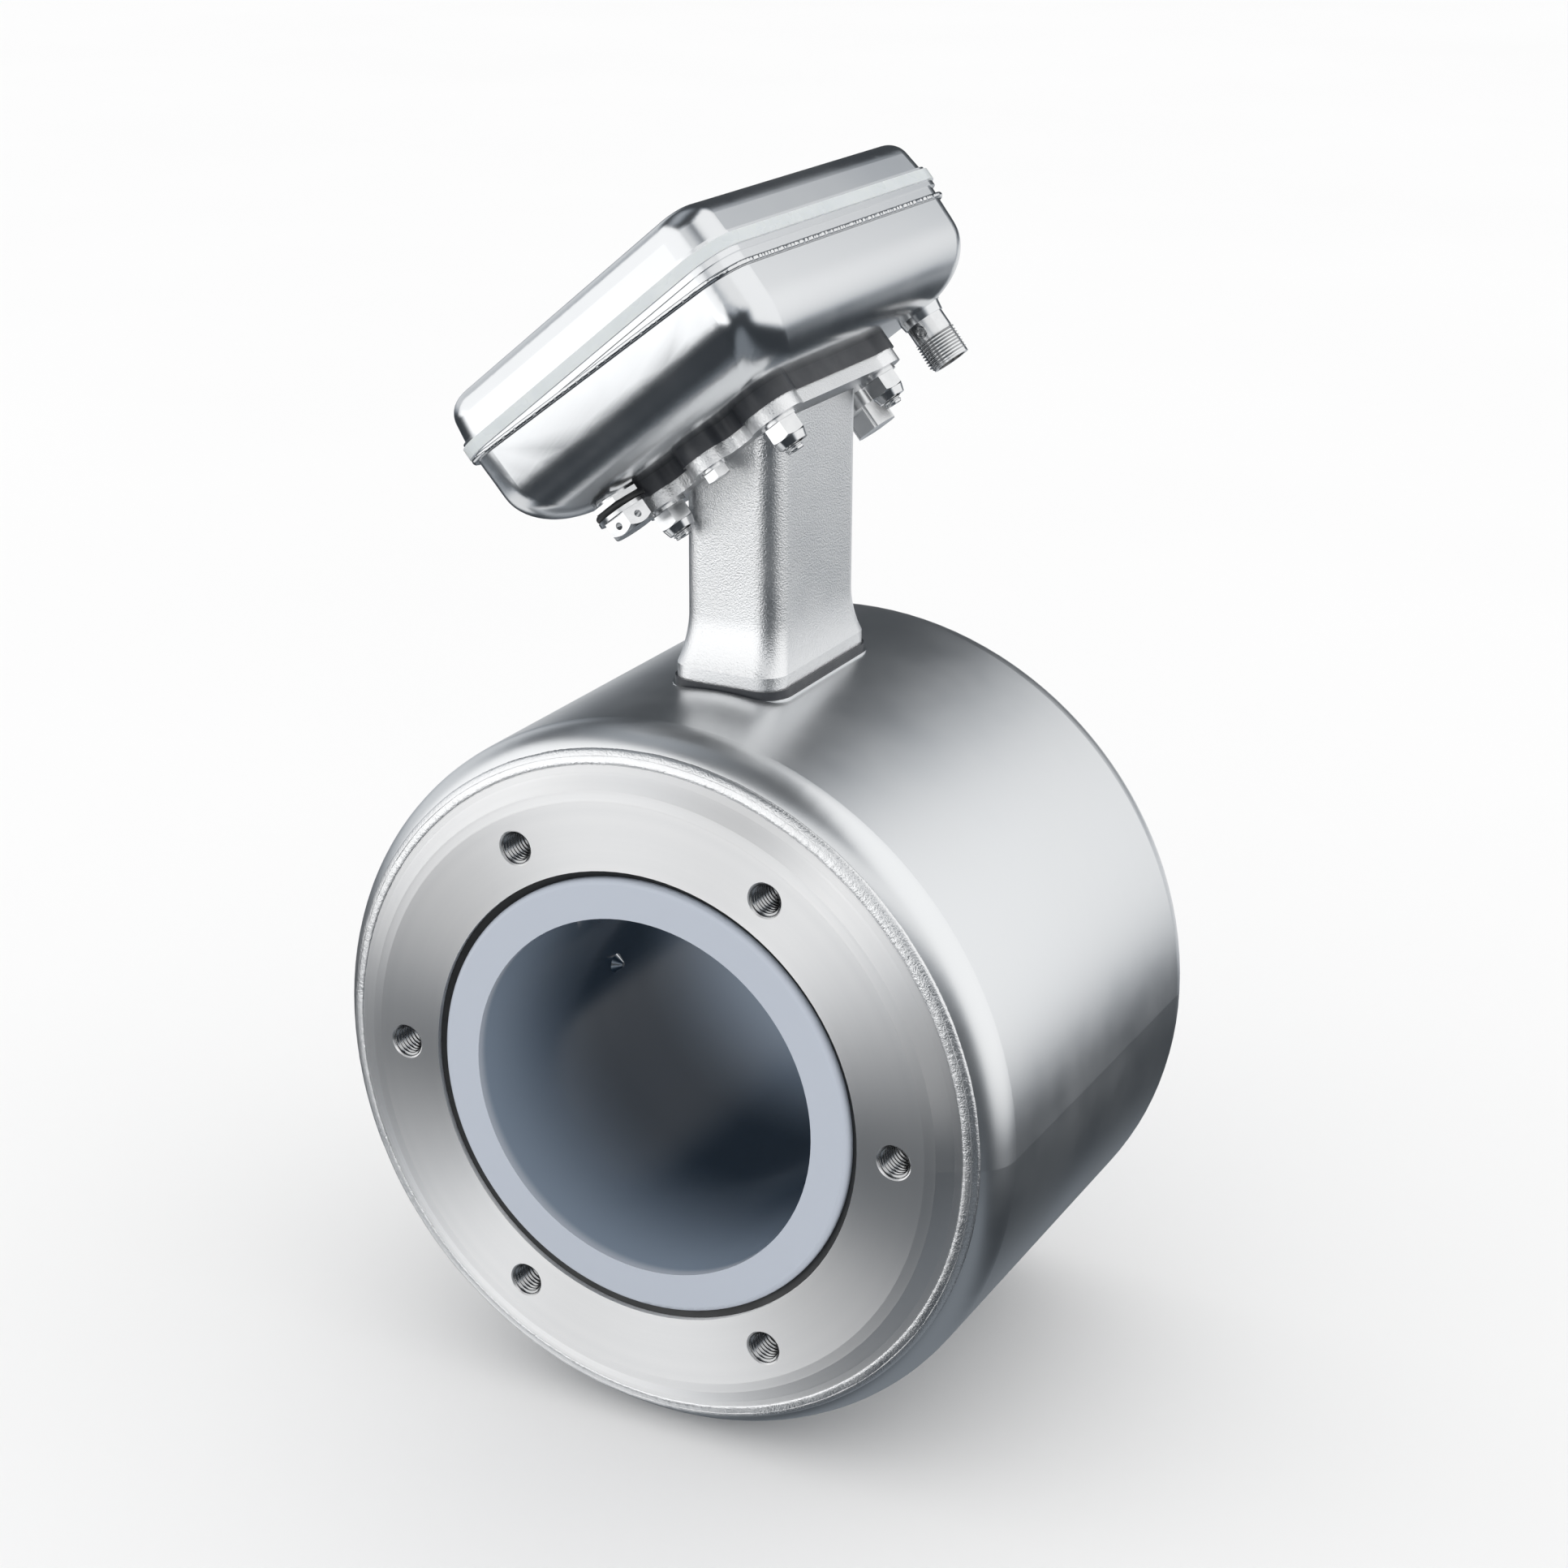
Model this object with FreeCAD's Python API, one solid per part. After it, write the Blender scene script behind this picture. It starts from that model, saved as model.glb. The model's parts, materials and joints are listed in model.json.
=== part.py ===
import FreeCAD, Part
import math
import os

from FreeCAD import Placement, Rotation, Vector

# Electromagnetic flow meter: a round stainless body with a lined bore, a cast neck on
# top of it and a sloping converter head. Millimetres. +Y is the flow axis, from the
# inlet face at y = 0 into the body, +Z is up through the neck, and the origin is the
# centre of the inlet face.

# ---- body ----
BODY_LENGTH = 163.0          # face to face
SHELL_R = 112.0              # outside of the round shell
SHELL_WALL = 3.0
SHOULDER_R = 13.0            # rounding between the shell's side and its ends
SHOULDER_SETBACK = 5.0       # the shoulder starts this far behind the face
WELD_INSET = 7.6             # shell and end ring are butt-welded this far inside the shell
BEAD_R = 0.9                 # section radius of the weld bead

# ---- end rings ----
RING_SEAT_DEPTH = 9.0
RING_THICKNESS = 18.0
FACE_R = 92.0                # edge of the flat joint face
BEVEL_R = 95.2
BEVEL_DROP = 0.7
RIM_R = 99.7
RIM_DROP = 3.6
WELD_DROP = 5.7
BOLT_CIRCLE_D = 165.0
BOLT_COUNT = 6
BOLT_HOLE_R = 5.0            # M10 thread, nominal radius
BOLT_HOLE_DEPTH = 14.0
BOLT_CHAMFER = 0.5

# ---- measuring tube and liner ----
BORE_R = 56.4
LINER_WALL = 5.0
COLLAR_R = 68.6              # liner collar in the ring's recess
SEAL_WIDTH = 2.4             # room for the seal between collar and recess
COLLAR_LENGTH = 9.0
COLLAR_EDGE_R = 1.8
TUBE_WALL = 3.0
SEAL_DROP = 1.6              # the seal lies this far below the joint face

# ---- magnet ----
COIL_DEPTH = 9.0             # radial build of the saddle coils
COIL_HALF_LENGTH = 40.0
COIL_HALF_ANGLE = 52.0
WINDOW_HALF_LENGTH = 22.0
WINDOW_HALF_ANGLE = 30.0
POLE_CLEARANCE = 1.0
YOKE_THICKNESS = 2.5
YOKE_HALF_WIDTH = 30.0
YOKE_PORT_R = 13.0

# ---- electrodes ----
ELECTRODE_R = 2.5
TIP_BASE_R = 3.2
TIP_END_R = 0.8
TIP_HEIGHT = 2.8
BUSH_R = 4.5
BUSH_FLANGE_R = 8.0
BUSH_FLANGE = 3.0
ELECTRODE_NUT_FLATS = 8.0
ELECTRODE_NUT_HEIGHT = 4.0
ELECTRODE_STICK_OUT = 3.0

# ---- pad and neck ----
PAD_MARGIN = 0.8             # the pad shows this far round the gasket
PAD_DROP = 1.0               # the pad's flat lies this far below the shell's crown
PAD_THICKNESS = 7.0
CABLE_PORT_R = 7.0
NECK_GASKET = 2.3
GASKET_LIP = 0.7             # the gaskets show this far round what they carry
FOOT_HALF_X = 18.0
FOOT_HALF_Y = 31.2
FOOT_CORNER_R = 7.5
FOOT_HEIGHT = 4.0
FLARE_HEIGHT = 15.0
FLARE = ((0.0, 1.0), (0.2, 0.63), (0.45, 0.3), (0.72, 0.08), (1.0, 0.0))  # (rise, spread) shares
NECK_HALF_X = 16.2
NECK_HALF_Y = 27.2
NECK_CORNER_R = 7.5
NECK_WALL = 3.2
NECK_FLOOR = 5.0
FOOT_SCREW_R = 2.5
FOOT_SCREW_PITCH_Y = 38.0
FOOT_SCREW_PITCH_X = 13.0
FOOT_SCREW_HEAD_R = 4.25
FOOT_SCREW_HEAD = 5.0
FOOT_SCREW_GRIP = 6.0
SCREW_CLEARANCE = 0.3

# ---- head, in its own frame: x along its width, y along the pipe, z out of the display ----
HEAD_TILT = 39.5             # degrees about the pipe axis
HEAD_X = -20.2               # middle of the rim plane
HEAD_Z = 214.4
RIM_HALF_X = 55.4            # outside of the sealing band
RIM_HALF_Y = 72.5
RIM_CORNER_R = 11.5
BAND_CORNER_R = 12.5
BEAD_HEIGHT = 1.8
BAND_HEIGHT = 3.6
BAND_DEPTH = 3.4
TUB_INSET = 1.6              # the tub's wall lies this far inside the band
TUB_DEPTH = 29.7
TUB_DRAFT = 0.8
TUB_EDGE_R = 17.0
TUB_WALL = 2.0
LEDGE_HEIGHT = 1.0
LEDGE_INSET = 0.8
LID_INSET = 1.4
LID_TOP = 18.9
LID_DRAFT = 1.2
LID_EDGE_R = 7.0
LID_WALL = 2.2
WINDOW_HALF_X = 27.0
WINDOW_HALF_Y = 38.0
WINDOW_CORNER_R = 4.0
WINDOW_GLASS = 2.5
WINDOW_LEDGE = 2.0
LID_SCREW_R = 2.0
LID_SCREW_HEAD_R = 3.6
LID_SCREW_HEAD = 3.0
LID_SCREW_INSET = 13.0
LID_SCREW_GRIP = 9.0

# ---- joint between head and neck ----
HEAD_GASKET = 5.0
FLANGE_THICKNESS = 4.2
FLANGE_X = -5.4              # the flange's middle in the head's frame
STUD_PITCH_X = 47.2
STUD_PITCH_Y = 63.6
LOBE_R = 8.4
SMALL_LOBE_R = 6.6
SMALL_LOBE_OUT = 5.0
PLATE_LIP_X = 6.6
PLATE_LIP_Y = 2.6
LOBE_BLEND_R = 4.0
PORT_HALF_X = 12.0
PORT_HALF_Y = 20.0
PORT_CORNER_R = 5.0
STUD_R = 3.0
STUD_STICK_OUT = 4.0
STUD_HEAD_R = 5.0
STUD_HEAD = 2.5
WASHER_R = 6.0
WASHER_THICKNESS = 1.2
NUT_FLATS = 10.0
NUT_HEIGHT = 5.0
NUT_DOME_R = 4.3
NUT_DOME = 2.2
SMALL_SCREW_R = 2.0
SMALL_SCREW_FLATS = 7.0
SMALL_SCREW_HEAD = 3.0
SMALL_WASHER_R = 4.6
SMALL_WASHER = 0.9

# ---- fittings under the head ----
VENT_X = -30.6
VENT_Y = -49.6
VENT_NECK_R = 6.0
VENT_NECK = 4.4
VENT_NUT_FLATS = 14.0
VENT_NUT = 1.6
RING_SECTION_R = 1.1
VENT_COLLAR_R = 8.3
VENT_COLLAR = 1.2
VENT_FLATS = 13.0
VENT_HEX = 5.6
VENT_CHAMFER = 48.0          # degrees, steeper than a plain nut's
VENT_HOLE_R = 1.1
VENT_HOLE_DEPTH = 3.0
VENT_BORE_R = 2.5
PLUG_X = -2.3
PLUG_Y = 51.0
PLUG_NECK_R = 4.0
PLUG_BARREL_R = 5.6
PLUG_BARREL = 10.5
PLUG_FLATS = 13.0
PLUG_HEX = 7.5
PLUG_NOTCH = 1.6
CONNECTOR_X = 30.4
CONNECTOR_Y = 54.0
BOSS_R = 6.6
BOSS_HEIGHT = 2.4
BOSS_TAPER = 1.8             # how much wider the boss is at its root inside the tub's edge
CONNECTOR_R = 6.0            # M12 thread, nominal radius
CONNECTOR_BODY_R = 6.2
CONNECTOR_BODY = 5.4
CONNECTOR_THREAD = 9.4
CONNECTOR_STEM_R = 5.0
CONNECTOR_NUT_FLATS = 12.0
CONNECTOR_SEAT_R = 7.6
CONNECTOR_SEAT = 2.4         # the nut's seat stands this far above the tub's floor
CONNECTOR_NUT = 3.0
CONNECTOR_WALL = 1.3
CONNECTOR_SOCKET = 7.5
INSERT_THICKNESS = 4.0
PIN_R = 0.5
PIN_CIRCLE_R = 2.4
PIN_COUNT = 4
PIN_LENGTH = 6.0

# ---- inside the head ----
BOARD_LEVEL = -2.0
BOARD_THICKNESS = 1.6
BOARD_HALF_X = 36.0
BOARD_HALF_Y = 52.0
BOARD_CORNER_R = 2.0
STANDOFF_R = 3.0
STANDOFF_INSET = 4.5
STANDOFF_PITCH_Y = 32.0
MODULE_CLEARANCE = 0.8
PILLAR_R = 4.6

PORT_EXTRA = 1.0             # how far a cutting form overshoots the wall it opens
CHAMFER_SHARE = 1.15         # the turned-off corner, as a share of the corner's stand-out
NUT_CHAMFER = 30.0           # degrees, corners turned off nuts and screw heads
WALL_SECTIONS = 3            # sections down the straight part of a drawn wall
EDGE_SECTIONS = 8            # sections round its rolled edge
TINY = 1e-4

MID = BODY_LENGTH / 2
WELD_R = SHELL_R - WELD_INSET
PAD_HALF_X = FOOT_HALF_X + GASKET_LIP + PAD_MARGIN
PAD_HALF_Y = FOOT_HALF_Y + GASKET_LIP + PAD_MARGIN
PAD_CORNER_R = FOOT_CORNER_R + GASKET_LIP + PAD_MARGIN
LINER_OUTER_R = BORE_R + LINER_WALL
RING_BORE_R = COLLAR_R + SEAL_WIDTH
TUBE_OUTER_R = LINER_OUTER_R + TUBE_WALL
PAD_LEVEL = SHELL_R - PAD_DROP
FOOT_LEVEL = PAD_LEVEL + NECK_GASKET
FLOOR = -TUB_DEPTH
FLANGE_TOP = FLOOR - HEAD_GASKET
FLANGE_UNDER = FLANGE_TOP - FLANGE_THICKNESS
BAND_TOP = BEAD_HEIGHT + BAND_HEIGHT

Z_AXIS = Vector(0, 0, 1)
Y_AXIS = Vector(0, 1, 0)
X_AXIS = Vector(1, 0, 0)
ORIGIN = Vector(0, 0, 0)
HEAD_PLACE = Placement(Vector(HEAD_X, MID, HEAD_Z), Rotation(Y_AXIS, -HEAD_TILT))

NODES = {}


def keep(name, shape):
    NODES[name] = shape


def to_body_frame(shape):
    """A form drawn in the head's frame, carried to its place on the body."""
    placed = shape.copy()
    placed.Placement = HEAD_PLACE.multiply(placed.Placement)
    return placed


def keep_in_head(name, shape):
    keep(name, to_body_frame(shape))


# ---- form helpers ----
def turned(points):
    """Solid of revolution about the pipe axis from (radius, y) points."""
    wire = Part.makePolygon([Vector(r, y, 0) for r, y in points + points[:1]])
    return Part.Face(wire).revolve(ORIGIN, Y_AXIS, 360)


def turned_wire(edges):
    """Solid of revolution about the pipe axis from edges that close a profile."""
    return Part.Face(Part.Wire(edges)).revolve(ORIGIN, Y_AXIS, 360)


def line(a, b):
    return Part.LineSegment(Vector(a[0], a[1], 0), Vector(b[0], b[1], 0)).toShape()


def arc(centre, radius, start, end):
    """Arc in the profile plane, angles in degrees from the radius axis towards +Y."""
    def at(angle):
        t = math.radians(angle)
        return Vector(centre[0] + radius * math.cos(t), centre[1] + radius * math.sin(t), 0)
    return Part.Arc(at(start), at((start + end) / 2), at(end)).toShape()


def rounded_wire(half_x, half_y, radius, z, x=0.0, y=0.0):
    """Rectangle with round corners, in a level plane."""
    edges = []
    corners = ((1, 1, 0), (-1, 1, 90), (-1, -1, 180), (1, -1, 270))
    points = []
    for sx, sy, first in corners:
        centre = Vector(x + sx * (half_x - radius), y + sy * (half_y - radius), z)
        ends = []
        for angle in (first, first + 45, first + 90):
            t = math.radians(angle)
            ends.append(centre + Vector(radius * math.cos(t), radius * math.sin(t), 0))
        points.append(ends)
    for i, ends in enumerate(points):
        edges.append(Part.Arc(*ends).toShape())
        edges.append(Part.makeLine(ends[2], points[(i + 1) % 4][0]))
    return Part.Wire(edges)


def rounded_block(half_x, half_y, radius, z, height, x=0.0, y=0.0):
    return Part.Face(rounded_wire(half_x, half_y, radius, z, x, y)).extrude(Vector(0, 0, height))


def drum(radius, z, height, x=0.0, y=0.0):
    return Part.makeCylinder(radius, height, Vector(x, y, z))


def bore(radius, z, height, x=0.0, y=0.0):
    """Cutter for a round hole through a wall that starts at z."""
    return drum(radius, z - PORT_EXTRA, height + 2 * PORT_EXTRA, x, y)


def hexagon(flats, z, height, x=0.0, y=0.0):
    corner = flats / math.sqrt(3)
    points = []
    for i in range(7):
        t = math.radians(60 * i)
        points.append(Vector(x + corner * math.cos(t), y + corner * math.sin(t), z))
    return Part.Face(Part.makePolygon(points)).extrude(Vector(0, 0, height))


def chamfered_hexagon(flats, z, height, x, y, top, bottom, angle=NUT_CHAMFER):
    """Hexagon whose corners are turned off at the named ends."""
    corner = flats / math.sqrt(3)
    cut = (corner - flats / 2) * CHAMFER_SHARE
    slope = cut * math.tan(math.radians(angle))
    profile = [Vector(x, y, z)]
    profile += [Vector(x + corner - cut, y, z), Vector(x + corner, y, z + slope)] if bottom else \
        [Vector(x + corner, y, z)]
    profile += [Vector(x + corner, y, z + height - slope), Vector(x + corner - cut, y, z + height)] \
        if top else [Vector(x + corner, y, z + height)]
    profile += [Vector(x, y, z + height), Vector(x, y, z)]
    turned_blank = Part.Face(Part.makePolygon(profile)).revolve(Vector(x, y, z), Z_AXIS, 360)
    return hexagon(flats, z, height, x, y).common(turned_blank)


def sector(inner_r, outer_r, half_length, middle, half_angle):
    """Part of a pipe round the flow axis, centred on an angle from +X, in degrees."""
    ring = Part.Face(Part.makePolygon([
        Vector(inner_r, MID - half_length, 0), Vector(outer_r, MID - half_length, 0),
        Vector(outer_r, MID + half_length, 0), Vector(inner_r, MID + half_length, 0),
        Vector(inner_r, MID - half_length, 0)]))
    ring.rotate(ORIGIN, Y_AXIS, -(middle - half_angle))
    return ring.revolve(ORIGIN, Y_AXIS, -2 * half_angle)


def mirrored_to_outlet(shape):
    return shape.mirror(Vector(0, MID, 0), Y_AXIS)


# ---- body ----
def shoulder_point(radius_offset, r):
    """y of the shell's front shoulder, or of its inner wall, at a radius."""
    centre_r = SHELL_R - SHOULDER_R
    centre_y = SHOULDER_SETBACK + SHOULDER_R
    radius = SHOULDER_R - radius_offset
    return centre_y - math.sqrt(radius ** 2 - (r - centre_r) ** 2)


def outer_shell():
    centre_r = SHELL_R - SHOULDER_R
    front = SHOULDER_SETBACK + SHOULDER_R
    inner = SHOULDER_R - SHELL_WALL
    y_out = shoulder_point(0, WELD_R)
    y_in = shoulder_point(SHELL_WALL, WELD_R)
    a_out = math.degrees(math.atan2(y_out - front, WELD_R - centre_r))
    a_in = math.degrees(math.atan2(y_in - front, WELD_R - centre_r))
    back = BODY_LENGTH - front
    edges = [
        arc((centre_r, front), SHOULDER_R, a_out, 0),
        line((SHELL_R, front), (SHELL_R, back)),
        arc((centre_r, back), SHOULDER_R, 0, -a_out),
        line((WELD_R, BODY_LENGTH - y_out), (WELD_R, BODY_LENGTH - y_in)),
        arc((centre_r, back), inner, -a_in, 0),
        line((SHELL_R - SHELL_WALL, back), (SHELL_R - SHELL_WALL, front)),
        arc((centre_r, front), inner, 0, a_in),
        line((WELD_R, y_in), (WELD_R, y_out)),
    ]
    shell = turned_wire(edges)
    pad = rounded_block(PAD_HALF_X, PAD_HALF_Y, PAD_CORNER_R, PAD_LEVEL - PAD_THICKNESS,
                        PAD_THICKNESS, 0, MID)
    above = rounded_block(PAD_HALF_X, PAD_HALF_Y, PAD_CORNER_R, PAD_LEVEL, SHELL_R, 0, MID)
    shell = shell.fuse(pad).cut(above)
    shell = shell.cut(drum(CABLE_PORT_R, PAD_LEVEL - 2 * PAD_THICKNESS, 3 * PAD_THICKNESS, 0, MID))
    for x, y in foot_screw_places():
        shell = shell.cut(drum(FOOT_SCREW_R, PAD_LEVEL - FOOT_SCREW_GRIP, 2 * FOOT_SCREW_GRIP, x, y))
    return shell


def end_ring():
    """Inlet ring: stepped joint face, liner recess and threaded holes."""
    ring = turned([
        (RING_BORE_R, 0), (FACE_R, 0), (BEVEL_R, BEVEL_DROP), (RIM_R, RIM_DROP),
        (WELD_R, WELD_DROP), (WELD_R, RING_THICKNESS), (TUBE_OUTER_R, RING_THICKNESS),
        (TUBE_OUTER_R, RING_SEAT_DEPTH), (RING_BORE_R, RING_SEAT_DEPTH)])
    for i in range(BOLT_COUNT):
        t = math.radians(i * 360 / BOLT_COUNT)
        place = Vector(BOLT_CIRCLE_D / 2 * math.cos(t), 0, BOLT_CIRCLE_D / 2 * math.sin(t))
        ring = ring.cut(Part.makeCylinder(BOLT_HOLE_R, BOLT_HOLE_DEPTH, place, Y_AXIS))
        mouth = Part.makeCone(BOLT_HOLE_R + BOLT_CHAMFER, BOLT_HOLE_R, BOLT_CHAMFER, place, Y_AXIS)
        ring = ring.cut(mouth)
    bead = Part.makeTorus(WELD_R, BEAD_R, Vector(0, WELD_DROP, 0), Y_AXIS)
    inside = turned([(WELD_R - 2 * BEAD_R, WELD_DROP - 2 * BEAD_R), (WELD_R, WELD_DROP - 2 * BEAD_R),
                     (WELD_R, WELD_DROP + 2 * BEAD_R), (WELD_R - 2 * BEAD_R, WELD_DROP + 2 * BEAD_R)])
    return ring.fuse(bead.common(inside))


def measuring_tube():
    tube = turned([(LINER_OUTER_R, RING_SEAT_DEPTH), (TUBE_OUTER_R, RING_SEAT_DEPTH),
                   (TUBE_OUTER_R, BODY_LENGTH - RING_SEAT_DEPTH),
                   (LINER_OUTER_R, BODY_LENGTH - RING_SEAT_DEPTH)])
    across = Part.makeCylinder(BUSH_R, 2 * SHELL_R, Vector(-SHELL_R, MID, 0), X_AXIS)
    return tube.cut(across)


def liner():
    front = [
        line((BORE_R, 0), (COLLAR_R - COLLAR_EDGE_R, 0)),
        arc((COLLAR_R - COLLAR_EDGE_R, COLLAR_EDGE_R), COLLAR_EDGE_R, -90, 0),
        line((COLLAR_R, COLLAR_EDGE_R), (COLLAR_R, COLLAR_LENGTH)),
        line((COLLAR_R, COLLAR_LENGTH), (LINER_OUTER_R, COLLAR_LENGTH)),
        line((LINER_OUTER_R, COLLAR_LENGTH), (LINER_OUTER_R, BODY_LENGTH - COLLAR_LENGTH)),
        line((LINER_OUTER_R, BODY_LENGTH - COLLAR_LENGTH), (COLLAR_R, BODY_LENGTH - COLLAR_LENGTH)),
        line((COLLAR_R, BODY_LENGTH - COLLAR_LENGTH), (COLLAR_R, BODY_LENGTH - COLLAR_EDGE_R)),
        arc((COLLAR_R - COLLAR_EDGE_R, BODY_LENGTH - COLLAR_EDGE_R), COLLAR_EDGE_R, 0, 90),
        line((COLLAR_R - COLLAR_EDGE_R, BODY_LENGTH), (BORE_R, BODY_LENGTH)),
        line((BORE_R, BODY_LENGTH), (BORE_R, 0)),
    ]
    sleeve = turned_wire(front)
    for side in (-1, 1):
        sleeve = sleeve.cut(along_electrode(electrode_seat(), side))
    return sleeve


def face_seal():
    return turned([(COLLAR_R, SEAL_DROP + COLLAR_EDGE_R / 2), (RING_BORE_R, SEAL_DROP),
                   (RING_BORE_R, RING_SEAT_DEPTH), (COLLAR_R, RING_SEAT_DEPTH)])


# ---- magnet and electrodes ----
def saddle_coil(middle):
    outer_r = TUBE_OUTER_R + COIL_DEPTH
    coil = sector(TUBE_OUTER_R, outer_r, COIL_HALF_LENGTH, middle, COIL_HALF_ANGLE)
    window = sector(TUBE_OUTER_R - PORT_EXTRA, outer_r + PORT_EXTRA, WINDOW_HALF_LENGTH, middle,
                    WINDOW_HALF_ANGLE)
    return coil.cut(window)


def pole_shoe(middle):
    narrower = math.degrees(POLE_CLEARANCE / TUBE_OUTER_R)
    return sector(TUBE_OUTER_R, TUBE_OUTER_R + COIL_DEPTH, WINDOW_HALF_LENGTH - POLE_CLEARANCE,
                  middle, WINDOW_HALF_ANGLE - narrower)


def flux_band():
    inner = TUBE_OUTER_R + COIL_DEPTH
    band = turned([(inner, MID - YOKE_HALF_WIDTH), (inner + YOKE_THICKNESS, MID - YOKE_HALF_WIDTH),
                   (inner + YOKE_THICKNESS, MID + YOKE_HALF_WIDTH), (inner, MID + YOKE_HALF_WIDTH)])
    across = Part.makeCylinder(YOKE_PORT_R, 2 * SHELL_R, Vector(-SHELL_R, MID, 0), X_AXIS)
    return band.cut(across)


def along_electrode(shape, side):
    """Turns a form built up +Z to lie along the X axis on one side of the tube."""
    shape.rotate(ORIGIN, Y_AXIS, 90 * side)
    shape.translate(Vector(0, MID, 0))
    return shape


def electrode_seat():
    """Cone under the electrode's tip and its shaft, as both liner and electrode have them."""
    neck = Part.makeCone(TIP_BASE_R, ELECTRODE_R, TIP_BASE_R - ELECTRODE_R, Vector(0, 0, BORE_R))
    inside = drum(TIP_BASE_R, BORE_R - LINER_WALL, LINER_WALL)
    return neck.fuse([inside, drum(ELECTRODE_R, BORE_R, 2 * LINER_WALL)])


def electrode(side):
    nut_end = TUBE_OUTER_R + BUSH_FLANGE + ELECTRODE_NUT_HEIGHT
    tip = Part.makeCone(TIP_END_R, TIP_BASE_R, TIP_HEIGHT, Vector(0, 0, BORE_R - TIP_HEIGHT))
    neck = Part.makeCone(TIP_BASE_R, ELECTRODE_R, TIP_BASE_R - ELECTRODE_R, Vector(0, 0, BORE_R))
    shaft = Part.makeCylinder(ELECTRODE_R, nut_end + ELECTRODE_STICK_OUT - BORE_R, Vector(0, 0, BORE_R))
    return along_electrode(tip.fuse(neck).fuse(shaft), side)


def electrode_bush(side):
    sleeve = drum(BUSH_R, LINER_OUTER_R, TUBE_OUTER_R + BUSH_FLANGE - LINER_OUTER_R)
    flange = drum(BUSH_FLANGE_R, TUBE_OUTER_R - PORT_EXTRA, BUSH_FLANGE + PORT_EXTRA)
    shaft_hole = drum(ELECTRODE_R, LINER_OUTER_R - PORT_EXTRA, TUBE_OUTER_R)
    bush = along_electrode(sleeve.fuse(flange).cut(shaft_hole), side)
    tube = Part.makeCylinder(TUBE_OUTER_R, BODY_LENGTH, ORIGIN, Y_AXIS)
    lined = Part.makeCylinder(LINER_OUTER_R, BODY_LENGTH, ORIGIN, Y_AXIS)
    tube_hole = along_electrode(drum(BUSH_R, 0, SHELL_R), side)
    return bush.cut(tube.cut(tube_hole)).cut(lined)


def electrode_nut(side):
    z = TUBE_OUTER_R + BUSH_FLANGE
    nut = chamfered_hexagon(ELECTRODE_NUT_FLATS, z, ELECTRODE_NUT_HEIGHT, 0, 0, True, False)
    return along_electrode(nut.cut(bore(ELECTRODE_R, z, ELECTRODE_NUT_HEIGHT)), side)


# ---- neck ----
def foot_screw_places():
    return [(sx * FOOT_SCREW_PITCH_X / 2, MID + sy * FOOT_SCREW_PITCH_Y / 2)
            for sx in (-1, 1) for sy in (-1, 1)]


def neck_gasket():
    gasket = rounded_block(FOOT_HALF_X + GASKET_LIP, FOOT_HALF_Y + GASKET_LIP,
                           FOOT_CORNER_R + GASKET_LIP, PAD_LEVEL, NECK_GASKET, 0, MID)
    gasket = gasket.cut(bore(CABLE_PORT_R, PAD_LEVEL, NECK_GASKET, 0, MID))
    for x, y in foot_screw_places():
        gasket = gasket.cut(bore(FOOT_SCREW_R, PAD_LEVEL, NECK_GASKET, x, y))
    return gasket


def flange_outline(grow):
    """Lobed outline shared by the neck's flange and the head gasket."""
    half_x = STUD_PITCH_X / 2
    half_y = STUD_PITCH_Y / 2
    plate = rounded_block(half_x + PLATE_LIP_X, half_y + PLATE_LIP_Y, LOBE_BLEND_R, 0,
                          FLANGE_THICKNESS, FLANGE_X)
    lobes = [drum(LOBE_R, 0, FLANGE_THICKNESS, x, y) for x, y in stud_places()]
    lobes += [drum(SMALL_LOBE_R, 0, FLANGE_THICKNESS, x, y) for x, y in small_screw_places()]
    lobed = plate.fuse(lobes).removeSplitter()
    area = [face for face in lobed.Faces if face.BoundBox.ZMax < TINY][0]
    blended = area.makeOffset2D(LOBE_BLEND_R + grow).makeOffset2D(-LOBE_BLEND_R)
    return blended.Faces[0]


def stud_places():
    return [(FLANGE_X + sx * STUD_PITCH_X / 2, sy * STUD_PITCH_Y / 2)
            for sy in (-1, 1) for sx in (-1, 1)]


def small_screw_places():
    return [(FLANGE_X, sy * (STUD_PITCH_Y / 2 + SMALL_LOBE_OUT)) for sy in (-1, 1)]


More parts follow.
